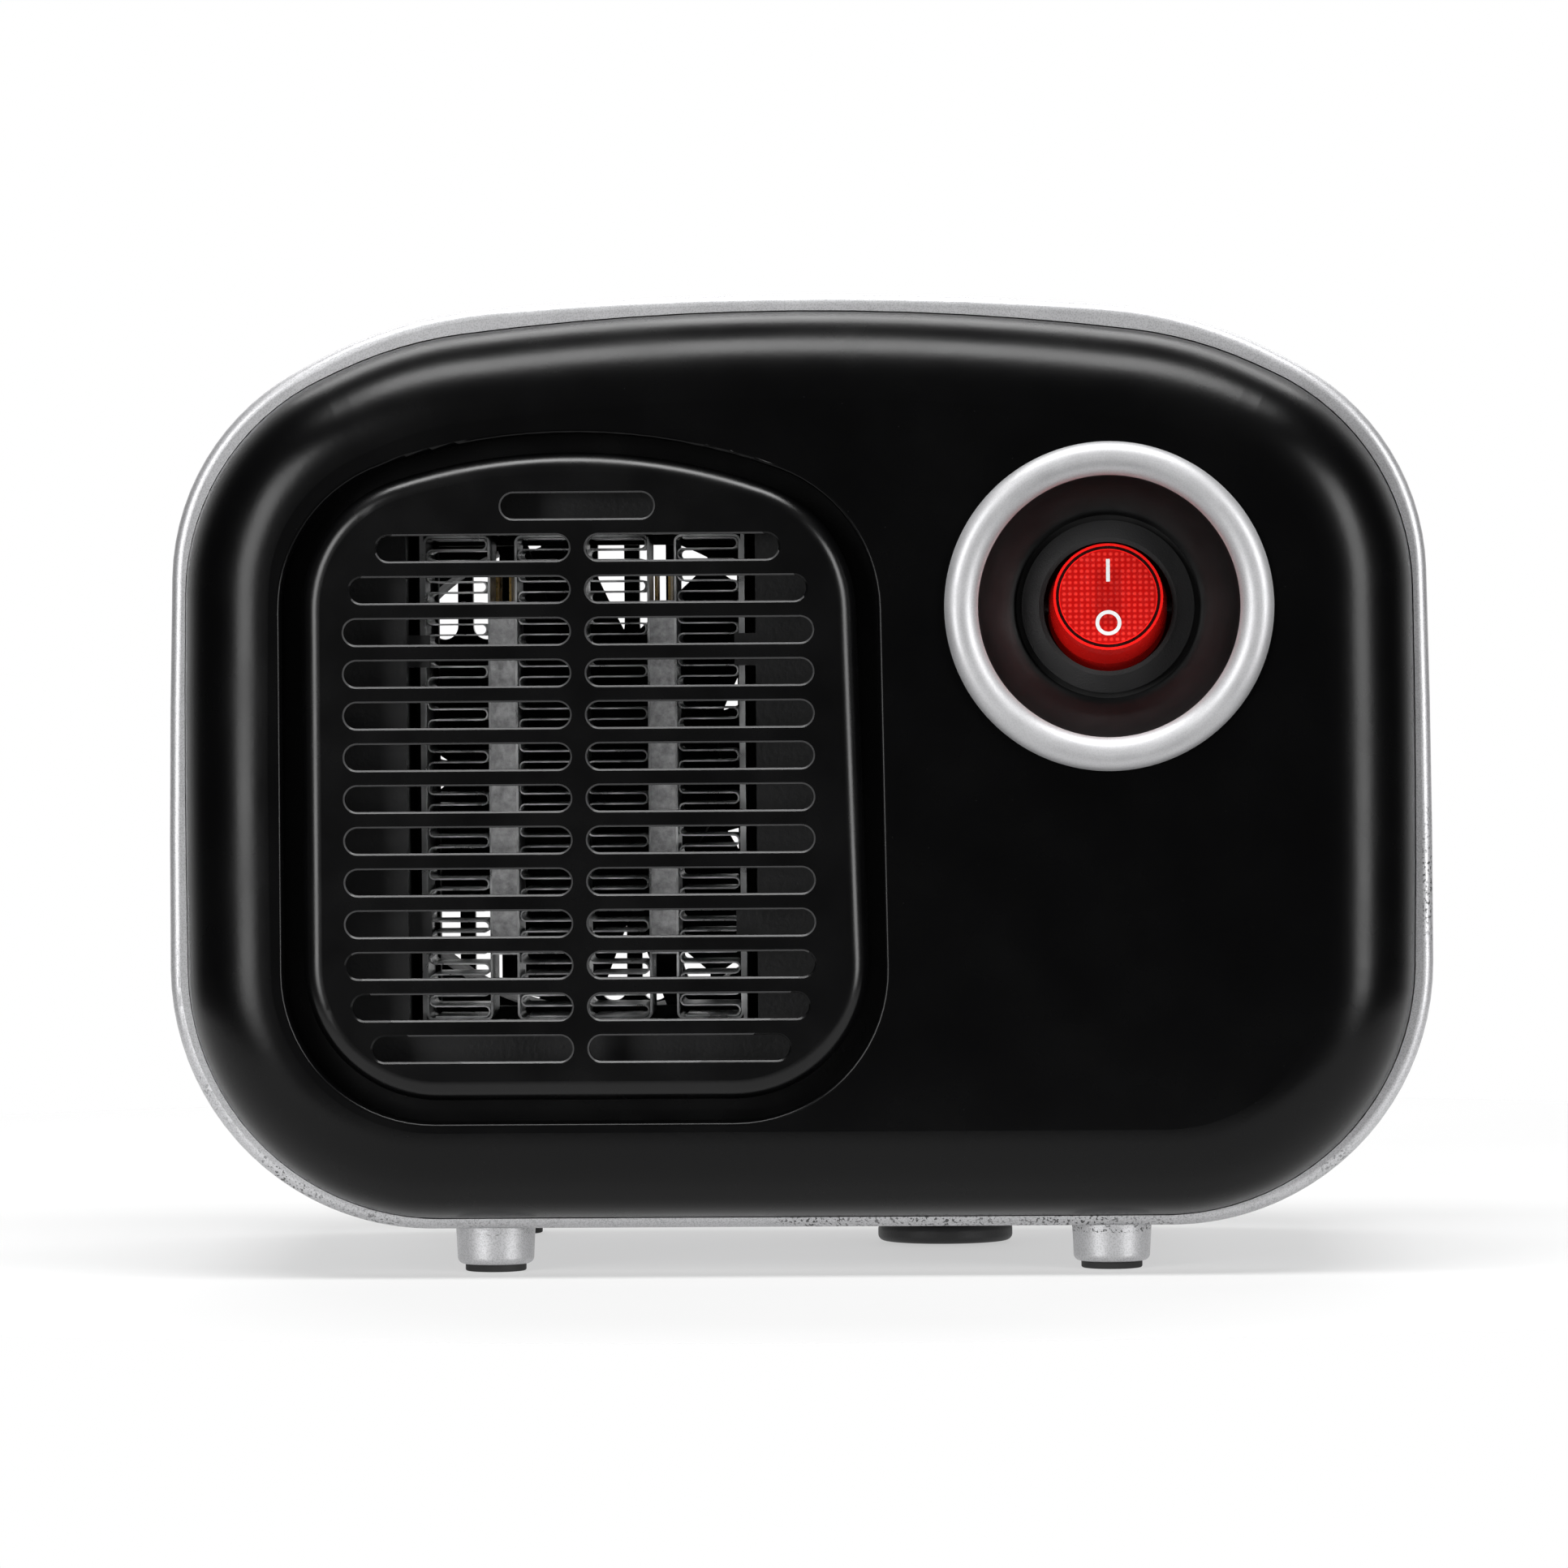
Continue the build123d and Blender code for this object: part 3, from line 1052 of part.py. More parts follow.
with BuildPart() as terminal_blocks:
    for block_x in TERMINAL_BLOCK_X:
        board_block(TERMINAL_BLOCK_SIZE, block_x, TERMINAL_BLOCK_Z)
        block_back_y = board_back_y + TERMINAL_BLOCK_SIZE[2]
        hole_z = BOARD_Z + TERMINAL_BLOCK_Z
        wire_holes = [(BOARD_X + block_x + side * TERMINAL_BLOCK_HOLE_X, hole_z) for side in (-1, 1)]
        rods(wire_holes, block_back_y + 1, block_back_y - 6, TERMINAL_BLOCK_HOLE_RADIUS, Mode.SUBTRACT)
save("terminal_blocks", terminal_blocks.part)

# ---------------------------------------------------------------- over-heat protection
duct_side_x = AIR_X + FAN_SIZE / 2
with BuildPart() as thermal_cutout:
    for start_x, length, radius in (
        (duct_side_x, CUTOUT_LENGTH, CUTOUT_RADIUS),
        (duct_side_x + CUTOUT_LENGTH, CUTOUT_CAP_LENGTH, CUTOUT_CAP_RADIUS),
    ):
        with BuildSketch(Plane(origin=(start_x, CUTOUT_Y, CUTOUT_Z), x_dir=(0, 1, 0), z_dir=(1, 0, 0))):
            Circle(radius)
        extrude(amount=length)
save("thermal_cutout", thermal_cutout.part)

with BuildPart() as thermal_fuse:
    with BuildSketch(Plane.XY.offset(FUSE_Z)):
        with Locations((duct_side_x + FUSE_RADIUS, CUTOUT_Y)):
            Circle(FUSE_RADIUS)
    extrude(amount=FUSE_LENGTH)
    fillet(thermal_fuse.edges().filter_by(GeomType.CIRCLE), radius=0.6)
save("thermal_fuse", thermal_fuse.part)

# ---------------------------------------------------------------- tip-over switch
def upright_rod(x, y, low, high, radius, mode=Mode.ADD):
    """Round rod along Z between two heights."""
    with BuildSketch(Plane.XY.offset(low)) as end:
        with Locations((x, y)):
            Circle(radius)
    extrude(end.sketch, amount=high - low, mode=mode)


def upright_block(x, y, width, depth, low, high, mode=Mode.ADD):
    """Rectangular block between two heights."""
    with BuildSketch(Plane.XY.offset(low)) as base:
        with Locations((x, y)):
            Rectangle(width, depth)
    extrude(base.sketch, amount=high - low, mode=mode)


collar_top_z = TIP_COLLAR_Z + TIP_COLLAR_THICKNESS
with BuildPart() as tip_plunger:
    upright_rod(TIP_X, TIP_Y, TIP_DISC_BOTTOM, TIP_DISC_BOTTOM + TIP_DISC_THICKNESS, TIP_DISC_RADIUS)
    fillet(tip_plunger.edges().filter_by(GeomType.CIRCLE), radius=TIP_DISC_ROUNDING)
    upright_rod(TIP_X, TIP_Y, TIP_DISC_BOTTOM + 1, TIP_NOSE_LOW_Z + 1, TIP_STEM_RADIUS)
    upright_rod(TIP_X, TIP_Y, TIP_COLLAR_Z, collar_top_z, TIP_COLLAR_RADIUS)
    upright_rod(TIP_X, TIP_Y, TIP_NOSE_LOW_Z, TIP_STEM_TOP_Z, TIP_NOSE_RADIUS)
    fillet(tip_plunger.faces().sort_by(Axis.Z)[-1].edges(), radius=TIP_NOSE_RADIUS - 0.1)
save("tip_plunger", tip_plunger.part)

# Open cage that guides the plunger, with a shelf and a plate that carry the microswitch.
shelf_z = TIP_CAGE_TOP_Z + CAGE_WALL
shelf_x = TIP_X + SHELF_OFFSET
with BuildPart() as tip_cage:
    upright_block(TIP_X, TIP_Y, CAGE_WIDTH, CAGE_WIDTH, FLOOR_INSIDE_Z, shelf_z)
    upright_block(
        TIP_X,
        TIP_Y,
        CAGE_WIDTH - 2 * CAGE_WALL,
        CAGE_WIDTH + 2,
        FLOOR_INSIDE_Z + CAGE_WALL,
        TIP_CAGE_TOP_Z,
        Mode.SUBTRACT,
    )
    upright_rod(TIP_X, TIP_Y, 0, shelf_z + 1, TIP_STEM_RADIUS + RUNNING_GAP, Mode.SUBTRACT)
    wall_y = TIP_Y + MICRO_DEPTH / 2 + CAGE_WALL / 2
    upright_block(shelf_x, wall_y, SHELF_WIDTH, CAGE_WALL, shelf_z, MICRO_TOP_Z)
    upright_block(
        shelf_x,
        TIP_Y + (MICRO_DEPTH + CAGE_WIDTH) / 4,
        SHELF_WIDTH,
        (CAGE_WIDTH - MICRO_DEPTH) / 2,
        TIP_CAGE_TOP_Z,
        shelf_z,
    )
save("tip_cage", tip_cage.part)

spring_low_z = collar_top_z + TIP_WIRE_RADIUS + 0.05
with BuildPart() as tip_spring:
    with BuildLine():
        coil = Helix(
            pitch=TIP_SPRING_PITCH,
            height=TIP_CAGE_TOP_Z - TIP_WIRE_RADIUS - 0.05 - spring_low_z,
            radius=TIP_SPRING_RADIUS,
            center=(TIP_X, TIP_Y, spring_low_z),
        )
    with BuildSketch(Plane(origin=coil @ 0, z_dir=coil % 0)):
        Circle(TIP_WIRE_RADIUS)
    sweep()
save("tip_spring", tip_spring.part)

lever_axis_z = LEVER_Z + LEVER_THICKNESS / 2
lever_pivot = Location((LEVER_PIVOT_X, TIP_Y, lever_axis_z), (90, 0, 0))
with BuildPart() as micro_switch:
    upright_block(MICRO_X, TIP_Y, MICRO_LENGTH, MICRO_DEPTH, MICRO_BOTTOM_Z, MICRO_TOP_Z)
    with Locations(lever_pivot):
        Cylinder(LEVER_PIN_RADIUS, LEVER_WIDTH + 2.4)
    for side in (-1, 1):
        cheek_y = TIP_Y + side * (LEVER_WIDTH / 2 + 0.7)
        upright_block(LEVER_PIVOT_X, cheek_y, CHEEK_WIDTH, 1, LEVER_Z - 0.5, MICRO_BOTTOM_Z + 1)
    button_well = BUTTON_SIZE + 2 * RUNNING_GAP
    well_low_z = MICRO_BOTTOM_Z - 1
    upright_block(BUTTON_X, TIP_Y, button_well, button_well, well_low_z, well_low_z + 4, Mode.SUBTRACT)
save("micro_switch", micro_switch.part)

with BuildPart() as micro_lever:
    lever_length = LEVER_PIVOT_X - LEVER_TIP_X
    lever_middle_x = LEVER_PIVOT_X - lever_length / 2
    upright_block(lever_middle_x, TIP_Y, lever_length, LEVER_WIDTH, LEVER_Z, LEVER_Z + LEVER_THICKNESS)
    with Locations(lever_pivot):
        Cylinder(LEVER_PIN_RADIUS + LEVER_CURL, LEVER_WIDTH)
        Cylinder(LEVER_PIN_RADIUS + RUNNING_GAP, LEVER_WIDTH + 2, mode=Mode.SUBTRACT)
save("micro_lever", micro_lever.part)

button_low_z = LEVER_Z + LEVER_THICKNESS + RUNNING_GAP
with BuildPart() as micro_button:
    upright_block(BUTTON_X, TIP_Y, BUTTON_SIZE, BUTTON_SIZE, button_low_z, button_low_z + BUTTON_HEIGHT)
save("micro_button", micro_button.part)
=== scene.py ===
import json
import math

import bmesh
import bpy
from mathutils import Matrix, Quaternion, Vector


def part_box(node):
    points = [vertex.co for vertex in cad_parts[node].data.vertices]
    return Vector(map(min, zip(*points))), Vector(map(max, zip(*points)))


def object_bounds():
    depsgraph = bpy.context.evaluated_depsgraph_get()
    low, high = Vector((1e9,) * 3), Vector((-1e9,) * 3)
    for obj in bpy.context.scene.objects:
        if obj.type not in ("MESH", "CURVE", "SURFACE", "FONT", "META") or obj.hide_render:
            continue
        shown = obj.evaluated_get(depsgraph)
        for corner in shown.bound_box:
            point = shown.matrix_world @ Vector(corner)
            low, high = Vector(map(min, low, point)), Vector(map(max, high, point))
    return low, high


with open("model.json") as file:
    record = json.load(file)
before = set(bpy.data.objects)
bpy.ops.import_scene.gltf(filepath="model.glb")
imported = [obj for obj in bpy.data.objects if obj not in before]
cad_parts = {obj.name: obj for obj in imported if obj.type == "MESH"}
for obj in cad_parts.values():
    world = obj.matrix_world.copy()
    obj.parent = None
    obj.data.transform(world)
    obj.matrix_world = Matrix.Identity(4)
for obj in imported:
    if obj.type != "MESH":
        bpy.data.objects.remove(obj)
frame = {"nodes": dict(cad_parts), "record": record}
cad_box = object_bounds()
nodes = frame["nodes"]
MM = 0.001
WAVE_TURNS = 20.0  # the wave texture turns this many radians per unit of scale and length

# ---------------------------------------------------------------- material helpers
# Objects sit at the origin, so object coordinates are metres in the heater's own frame.


class Surface:
    """A Principled material with short ways to add grain, colour changes and bumps."""

    def __init__(self, name, color, roughness, metallic=0.0, **sockets):
        self.material = bpy.data.materials.new(name)
        self.material.use_nodes = True
        self.tree = self.material.node_tree
        self.shader = self.tree.nodes["Principled BSDF"]
        self.shader.inputs["Base Color"].default_value = (*color, 1.0)
        self.shader.inputs["Roughness"].default_value = roughness
        self.shader.inputs["Metallic"].default_value = metallic
        for socket, value in sockets.items():
            self.shader.inputs[socket.replace("_", " ")].default_value = value
        self.place = self.tree.nodes.new("ShaderNodeTexCoord").outputs["Object"]
        self.normal = None

    def link(self, source, target):
        self.tree.links.new(source, target)

    def add(self, kind, **settings):
        """A new node with its settings: node properties or default input values."""
        node = self.tree.nodes.new(kind)
        for key, value in settings.items():
            if key in node.inputs:
                node.inputs[key].default_value = value
            else:
                setattr(node, key, value)
        return node

    def stretched(self, stretch):
        """The coordinates in use, scaled along each axis for brushed or drawn grain."""
        if stretch is None:
            return self.place
        mapping = self.add("ShaderNodeMapping", Scale=stretch)
        self.link(self.place, mapping.inputs["Vector"])
        return mapping.outputs["Vector"]

    def noise(self, size, detail=3.0, stretch=None, rough=0.5):
        """Noise whose features are about size metres across."""
        texture = self.add("ShaderNodeTexNoise", Scale=1.0 / size, Detail=detail, Roughness=rough)
        self.link(self.stretched(stretch), texture.inputs["Vector"])
        return texture.outputs["Fac"]

    def cells(self, size, stretch=None):
        """Cell pattern whose cells are about size metres across."""
        texture = self.add("ShaderNodeTexVoronoi", Scale=1.0 / size)
        self.link(self.stretched(stretch), texture.inputs["Vector"])
        return texture.outputs["Distance"]

    def bands(self, size, direction):
        """Straight ridges with one ridge every size metres."""
        scale = math.tau / size / WAVE_TURNS
        texture = self.add("ShaderNodeTexWave", bands_direction=direction, Scale=scale)
        self.link(self.place, texture.inputs["Vector"])
        return texture.outputs["Fac"]

    def math(self, operation, *values):
        """One step of arithmetic between patterns and numbers."""
        node = self.add("ShaderNodeMath", operation=operation)
        for socket, value in zip(node.inputs, values):
            if isinstance(value, (int, float)):
                socket.default_value = value
            else:
                self.link(value, socket)
        return node.outputs[0]

    def axes(self):
        """The x, y and z of the coordinates in use."""
        split = self.add("ShaderNodeSeparateXYZ")
        self.link(self.place, split.inputs["Vector"])
        return split.outputs

    def within(self, value, low, high):
        """1 where a pattern lies between two numbers, otherwise 0."""
        return self.math("COMPARE", value, (low + high) / 2, (high - low) / 2)

    def both(self, *masks):
        """1 where every mask is 1."""
        total = masks[0]
        for mask in masks[1:]:
            total = self.math("MULTIPLY", total, mask)
        return total

    def mark(self, mask, color):
        """Blends a colour over the base colour so far by a mask."""
        mix = self.add("ShaderNodeMix", data_type="RGBA")
        self.link(mask, mix.inputs["Factor"])
        self.link(self.shader.inputs["Base Color"].links[0].from_socket, mix.inputs["A"])
        mix.inputs["B"].default_value = (*color, 1.0)
        self.link(mix.outputs["Result"], self.shader.inputs["Base Color"])

    def spread(self, source, low, high, start=0.3, end=0.7):
        """Maps a pattern from start..end to low..high."""
        node = self.add("ShaderNodeMapRange")
        for name, value in (("From Min", start), ("From Max", end), ("To Min", low), ("To Max", high)):
            node.inputs[name].default_value = value
        self.link(source, node.inputs["Value"])
        return node.outputs["Result"]

    def tint(self, pattern, dark, light, start=0.35, end=0.65):
        """Base colour between two shades by a pattern."""
        ramp = self.add("ShaderNodeValToRGB")
        ramp.color_ramp.elements[0].position = start
        ramp.color_ramp.elements[0].color = (*dark, 1.0)
        ramp.color_ramp.elements[1].position = end
        ramp.color_ramp.elements[1].color = (*light, 1.0)
        self.link(pattern, ramp.inputs["Fac"])
        self.link(ramp.outputs["Color"], self.shader.inputs["Base Color"])

    def polish(self, pattern, low, high, start=0.3, end=0.7):
        """Roughness between two values by a pattern."""
        self.link(self.spread(pattern, low, high, start, end), self.shader.inputs["Roughness"])

    def bump(self, pattern, depth, strength=1.0):
        """Raises the surface by a pattern, depth metres high, over any earlier bump."""
        node = self.add("ShaderNodeBump", Strength=strength, Distance=depth)
        self.link(pattern, node.inputs["Height"])
        if self.normal is not None:
            self.link(self.normal, node.inputs["Normal"])
        self.normal = node.outputs["Normal"]
        self.link(self.normal, self.shader.inputs["Normal"])


def shade(color, factor):
    return tuple(min(1.0, channel * factor) for channel in color)


def plastic(name, color, roughness, grain=0.00035, depth=0.00001, contrast=0.25, **sockets):
    """Moulded plastic: fine spark grain, uneven gloss and a faint change of shade."""
    surface = Surface(name, color, roughness, **sockets)
    surface.tint(surface.noise(0.02, 5.0), shade(color, 1 - contrast), shade(color, 1 + contrast))
    surface.polish(surface.noise(0.008, 6.0), roughness * 0.85, roughness * 1.2)
    surface.bump(surface.noise(grain, 2.0), depth)
    return surface


def metal(name, color, roughness, brush=(1.0, 1.0, 12.0), depth=0.000006, grain=0.0006, **sockets):
    """Bare metal: drawn or brushed grain, finger-dull patches and small stains."""
    surface = Surface(name, color, roughness, metallic=1.0, **sockets)
    surface.tint(surface.noise(0.004, 6.0, brush), shade(color, 0.8), shade(color, 1.1))
    surface.polish(surface.noise(0.003, 5.0), roughness * 0.75, roughness * 1.35)
    surface.bump(surface.noise(grain, 3.0, brush), depth)
    return surface


# ---------------------------------------------------------------- materials
joints = {joint["name"]: joint for joint in frame["record"]["behaviour"]["joints"]}
ROCKER_CENTRE = joints["rocker_hinge"]["pos_m"]
ROCKER_TILT = math.radians(14.0)  # the same as ROCKER_TILT in part.py

# Worn places of the silver paint
LIP_TOP = 62.0 * MM  # the lip is worn below this height only
LIP_DEPTH = 0.9 * MM
FOOT_WORN = (4.0 * MM, 8.0 * MM)  # heights above the housing's lowest point

# Painted highlight on the slot edges of the grille: how far the edges lie behind its front face, and how
# far the highlighted area reaches past the side plates
SLOT_EDGE_HIGHLIGHT = (0.02 * MM, 0.24 * MM)
SLOTS_PAST_X = 11.0 * MM
SLOTS_PAST_Z = 6.5 * MM
SLOTS_SQUARENESS = 3  # 2 would be an ellipse, and more is closer to a rectangle

# Rocker, measured from its axis; its front face is towards -y
WINDOW_FRONT = -5.0 * MM
WINDOW_RADIUS = 6.4 * MM
# Painted shade: a dark ring at the clear cap's edge
RIM_SHADE_FRONT = -4.2 * MM
RIM_SHADE_RADII = (6.55 * MM, 6.95 * MM)
# Painted shadow of the lamp inside the rocker: how it fades out across and up, and how dark it is
LAMP_SHADOW_FADE_X = (1.3 * MM, 2.2 * MM)
LAMP_SHADOW_FADE_Z = (3.2 * MM, 4.6 * MM)
LAMP_SHADOW_DARKNESS = 0.4
WAFFLE_PITCH = 0.78 * MM
# Painted glow: emission strength that stands in for light passing through the red cap
ROCKER_PAINTED_GLOW = 0.07


def silver_paint():
    """Silver paint on plastic: fine metal flake, a slight orange peel, dark worn specks on lip and feet."""
    color = (0.46, 0.46, 0.47)
    surface = Surface("silver_paint", color, 0.45, metallic=0.7, Coat_Weight=0.2, Coat_Roughness=0.15)
    flake = surface.cells(0.00022)
    surface.tint(flake, shade(color, 0.75), shade(color, 1.15), 0.05, 0.6)
    lowest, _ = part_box("housing")
    _, y, z = surface.axes()
    lower_half = surface.math("LESS_THAN", z, LIP_TOP)
    lip = surface.both(surface.within(y, lowest[1], lowest[1] + LIP_DEPTH), lower_half)
    feet = surface.within(z, lowest[2] + FOOT_WORN[0], lowest[2] + FOOT_WORN[1])
    spots = surface.spread(surface.noise(0.0004, 2.0), 0.0, 1.0, 0.56, 0.6)
    patches = surface.spread(surface.noise(0.016, 2.0), 0.0, 0.9, 0.42, 0.6)
    worn = surface.math("MAXIMUM", lip, feet)
    surface.mark(surface.both(worn, spots, patches), (0.05, 0.05, 0.05))
    surface.polish(surface.noise(0.005, 5.0), 0.43, 0.48)
    surface.bump(surface.noise(0.00018, 2.0), 0.000008)
    surface.bump(surface.noise(0.0016, 2.0), 0.000012)
    return surface


def silver_ring():
    """Satin silver ring with fine flake."""
    color = (0.47, 0.47, 0.48)
    surface = Surface("silver_ring", color, 0.5, metallic=0.6, Coat_Weight=0.1, Coat_Roughness=0.2)
    surface.tint(surface.cells(0.0002), shade(color, 0.9), shade(color, 1.06), 0.05, 0.6)
    surface.polish(surface.noise(0.004, 5.0), 0.45, 0.56)
    surface.bump(surface.noise(0.0002, 2.0), 0.000006)
    return surface


def black_satin():
    """Satin black paint with a fine orange peel and a trace of dust."""
    color = (0.0008, 0.0008, 0.0009)
    surface = Surface("black_satin_shell", color, 0.26, Specular_IOR_Level=0.19)
    specks = surface.cells(0.0021)
    surface.tint(specks, (0.016, 0.016, 0.016), color, 0.012, 0.03)
    surface.polish(surface.noise(0.012, 5.0), 0.24, 0.29)
    surface.bump(surface.noise(0.0011, 2.0), 0.000008)
    surface.bump(surface.noise(0.0003, 2.0), 0.000003)
    return surface


def black_gloss():
    """Semi-gloss black moulding; the crisp edges of the grille's slots carry a painted highlight of dull
    grey.
    """
    color = (0.0012, 0.0012, 0.0013)
    surface = Surface("black_gloss_plastic", color, 0.26, Specular_IOR_Level=0.32)
    surface.tint(surface.noise(0.01, 4.0), shade(color, 0.7), shade(color, 1.4))
    front_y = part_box("front_grille")[0][1]
    element_low, element_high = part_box("side_plates")
    x, y, z = surface.axes()
    edge = surface.within(y, front_y + SLOT_EDGE_HIGHLIGHT[0], front_y + SLOT_EDGE_HIGHLIGHT[1])
    middle_x = (element_low[0] + element_high[0]) / 2
    middle_z = (element_low[2] + element_high[2]) / 2
    away_x = surface.math("ABSOLUTE", surface.math("SUBTRACT", x, middle_x))
    away_z = surface.math("ABSOLUTE", surface.math("SUBTRACT", z, middle_z))
    across = surface.math("POWER", away_x, SLOTS_SQUARENESS)
    up = surface.math("POWER", away_z, SLOTS_SQUARENESS)
    reach_x = (element_high[0] - element_low[0]) / 2 + SLOTS_PAST_X
    reach_z = (element_high[2] - element_low[2]) / 2 + SLOTS_PAST_Z
    share_x = surface.math("DIVIDE", across, reach_x**SLOTS_SQUARENESS)
    share_z = surface.math("DIVIDE", up, reach_z**SLOTS_SQUARENESS)
    from_middle = surface.math("ADD", share_x, share_z)
    slots = surface.math("LESS_THAN", from_middle, 1.0)
    # painted highlight: the slot edges are lightened to grey in the base colour, as where light catches
    # them
    surface.mark(surface.both(edge, slots), (0.05, 0.05, 0.051))
    surface.polish(surface.noise(0.009, 5.0), 0.23, 0.29)
    surface.bump(surface.noise(0.0013, 2.0), 0.000007)
    return surface


def dish_black():
    """Duller, lightly pebbled black of the bowl round the switch, its black lifted a little as a painted
    sheen.
    """
    # painted sheen: the base colour is lighter than the shell's black, standing in for the bowl's grey
    # reflections
    color = (0.006, 0.006, 0.0062)
    surface = Surface("dish_plastic", color, 0.36, Specular_IOR_Level=0.8)
    surface.tint(surface.noise(0.006, 4.0), shade(color, 0.7), shade(color, 1.3))
    surface.polish(surface.noise(0.004, 5.0), 0.32, 0.4)
    surface.bump(surface.noise(0.0009, 2.0), 0.00002)
    return surface


def red_rocker():
    """Clear cap over a red waffle and a smooth bright skirt, with a painted shadow of the lamp's dim shape
    behind the face, painted shade in a ring at the cap's edge, and a painted glow for light passing through
    the cap.
    """
    color = (0.85, 0.01, 0.008)
    surface = Surface("red_translucent_plastic", color, 0.25, Coat_Weight=1.0, Coat_Roughness=0.04)
    face = surface.add("ShaderNodeMapping", vector_type="TEXTURE", Location=ROCKER_CENTRE)
    face.inputs["Rotation"].default_value = (-ROCKER_TILT, 0.0, 0.0)
    surface.link(surface.place, face.inputs["Vector"])
    surface.place = face.outputs["Vector"]
    x, y, z = surface.axes()
    squares = surface.math("ADD", surface.math("POWER", x, 2.0), surface.math("POWER", z, 2.0))
    from_axis = surface.math("SQRT", squares)
    front = surface.math("LESS_THAN", y, WINDOW_FRONT)
    window = surface.both(front, surface.math("LESS_THAN", from_axis, WINDOW_RADIUS))
    edge = surface.math("LESS_THAN", y, RIM_SHADE_FRONT)
    rim_shade = surface.both(edge, surface.within(from_axis, *RIM_SHADE_RADII))
    lamp_shadow_across = surface.spread(surface.math("ABSOLUTE", x), 1.0, 0.0, *LAMP_SHADOW_FADE_X)
    lamp_shadow_up = surface.spread(surface.math("ABSOLUTE", z), 1.0, 0.0, *LAMP_SHADOW_FADE_Z)
    waffle = surface.both(surface.bands(WAFFLE_PITCH, "X"), surface.bands(WAFFLE_PITCH, "Z"), window)
    surface.tint(waffle, (0.5, 0.002, 0.0015), (0.95, 0.035, 0.025), 0.1, 0.75)
    skirt = surface.math("SUBTRACT", 1.0, window)
    surface.mark(skirt, (1.0, 0.012, 0.009))
    # painted shadow: the face is darkened where the lamp stands behind it
    lamp = surface.both(window, lamp_shadow_across, lamp_shadow_up)
    surface.mark(surface.math("MULTIPLY", lamp, LAMP_SHADOW_DARKNESS), (0.2, 0.0, 0.0))
    # painted shade: a dark ring where the clear cap's edge meets the red body
    surface.mark(rim_shade, (0.02, 0.0, 0.0))
    # painted glow: the cap gives off faint red light everywhere except the dark ring, standing in for light
    # through the translucent plastic
    painted_glow = surface.math("SUBTRACT", 1.0, rim_shade)
    strength = surface.spread(painted_glow, 0.0, ROCKER_PAINTED_GLOW, 0.0, 1.0)
    surface.link(strength, surface.shader.inputs["Emission Strength"])
    surface.shader.inputs["Emission Color"].default_value = (1.0, 0.012, 0.008, 1.0)
    surface.polish(surface.noise(0.001, 3.0), 0.18, 0.3)
    surface.bump(waffle, 0.00006, 0.8)
    return surface


def circuit_board():
    """Green solder mask over copper tracks, with pale pads."""
    surface = Surface("circuit_board", (0.02, 0.16, 0.07), 0.32, Coat_Weight=0.4, Coat_Roughness=0.15)
    tracks = surface.cells(0.004, (1.0, 1.0, 0.35))
    surface.tint(tracks, (0.03, 0.22, 0.09), (0.012, 0.11, 0.05), 0.28, 0.34)
    surface.bump(surface.spread(tracks, 1.0, 0.0, 0.28, 0.34), 0.00003)
    surface.polish(surface.noise(0.002, 4.0), 0.25, 0.4)
    return surface


def copper_coils():
    """Enamelled copper wire wound round the poles."""
    surface = Surface("copper_wire", (0.62, 0.25, 0.11), 0.28, metallic=1.0, Coat_Weight=0.5)
    turns = surface.bands(0.0004, "Y")
    surface.tint(turns, (0.28, 0.09, 0.04), (0.72, 0.32, 0.16), 0.2, 0.8)
    surface.bump(turns, 0.0001)
    surface.polish(surface.noise(0.001, 3.0), 0.2, 0.4)
    return surface


def dull_tube():
    """Rough grey aluminium with smears of adhesive."""
    color = (0.36, 0.36, 0.365)
    surface = Surface("aluminium_tube", color, 0.6, metallic=0.55)
    surface.tint(surface.noise(0.0014, 8.0, rough=0.7), shade(color, 0.55), shade(color, 1.5), 0.3, 0.7)
    surface.polish(surface.noise(0.0009, 6.0), 0.42, 0.75)
    surface.bump(surface.noise(0.0007, 5.0), 0.00009)
    return surface


def ceramic():
    """Fired ceramic with fine pores."""
    color = (0.13, 0.13, 0.135)
    surface = Surface("ceramic", color, 0.65)
    surface.tint(surface.noise(0.0012, 6.0), shade(color, 0.6), shade(color, 1.4))
    surface.bump(surface.cells(0.0005), 0.00004)
    surface.polish(surface.noise(0.001, 3.0), 0.55, 0.75)
    return surface


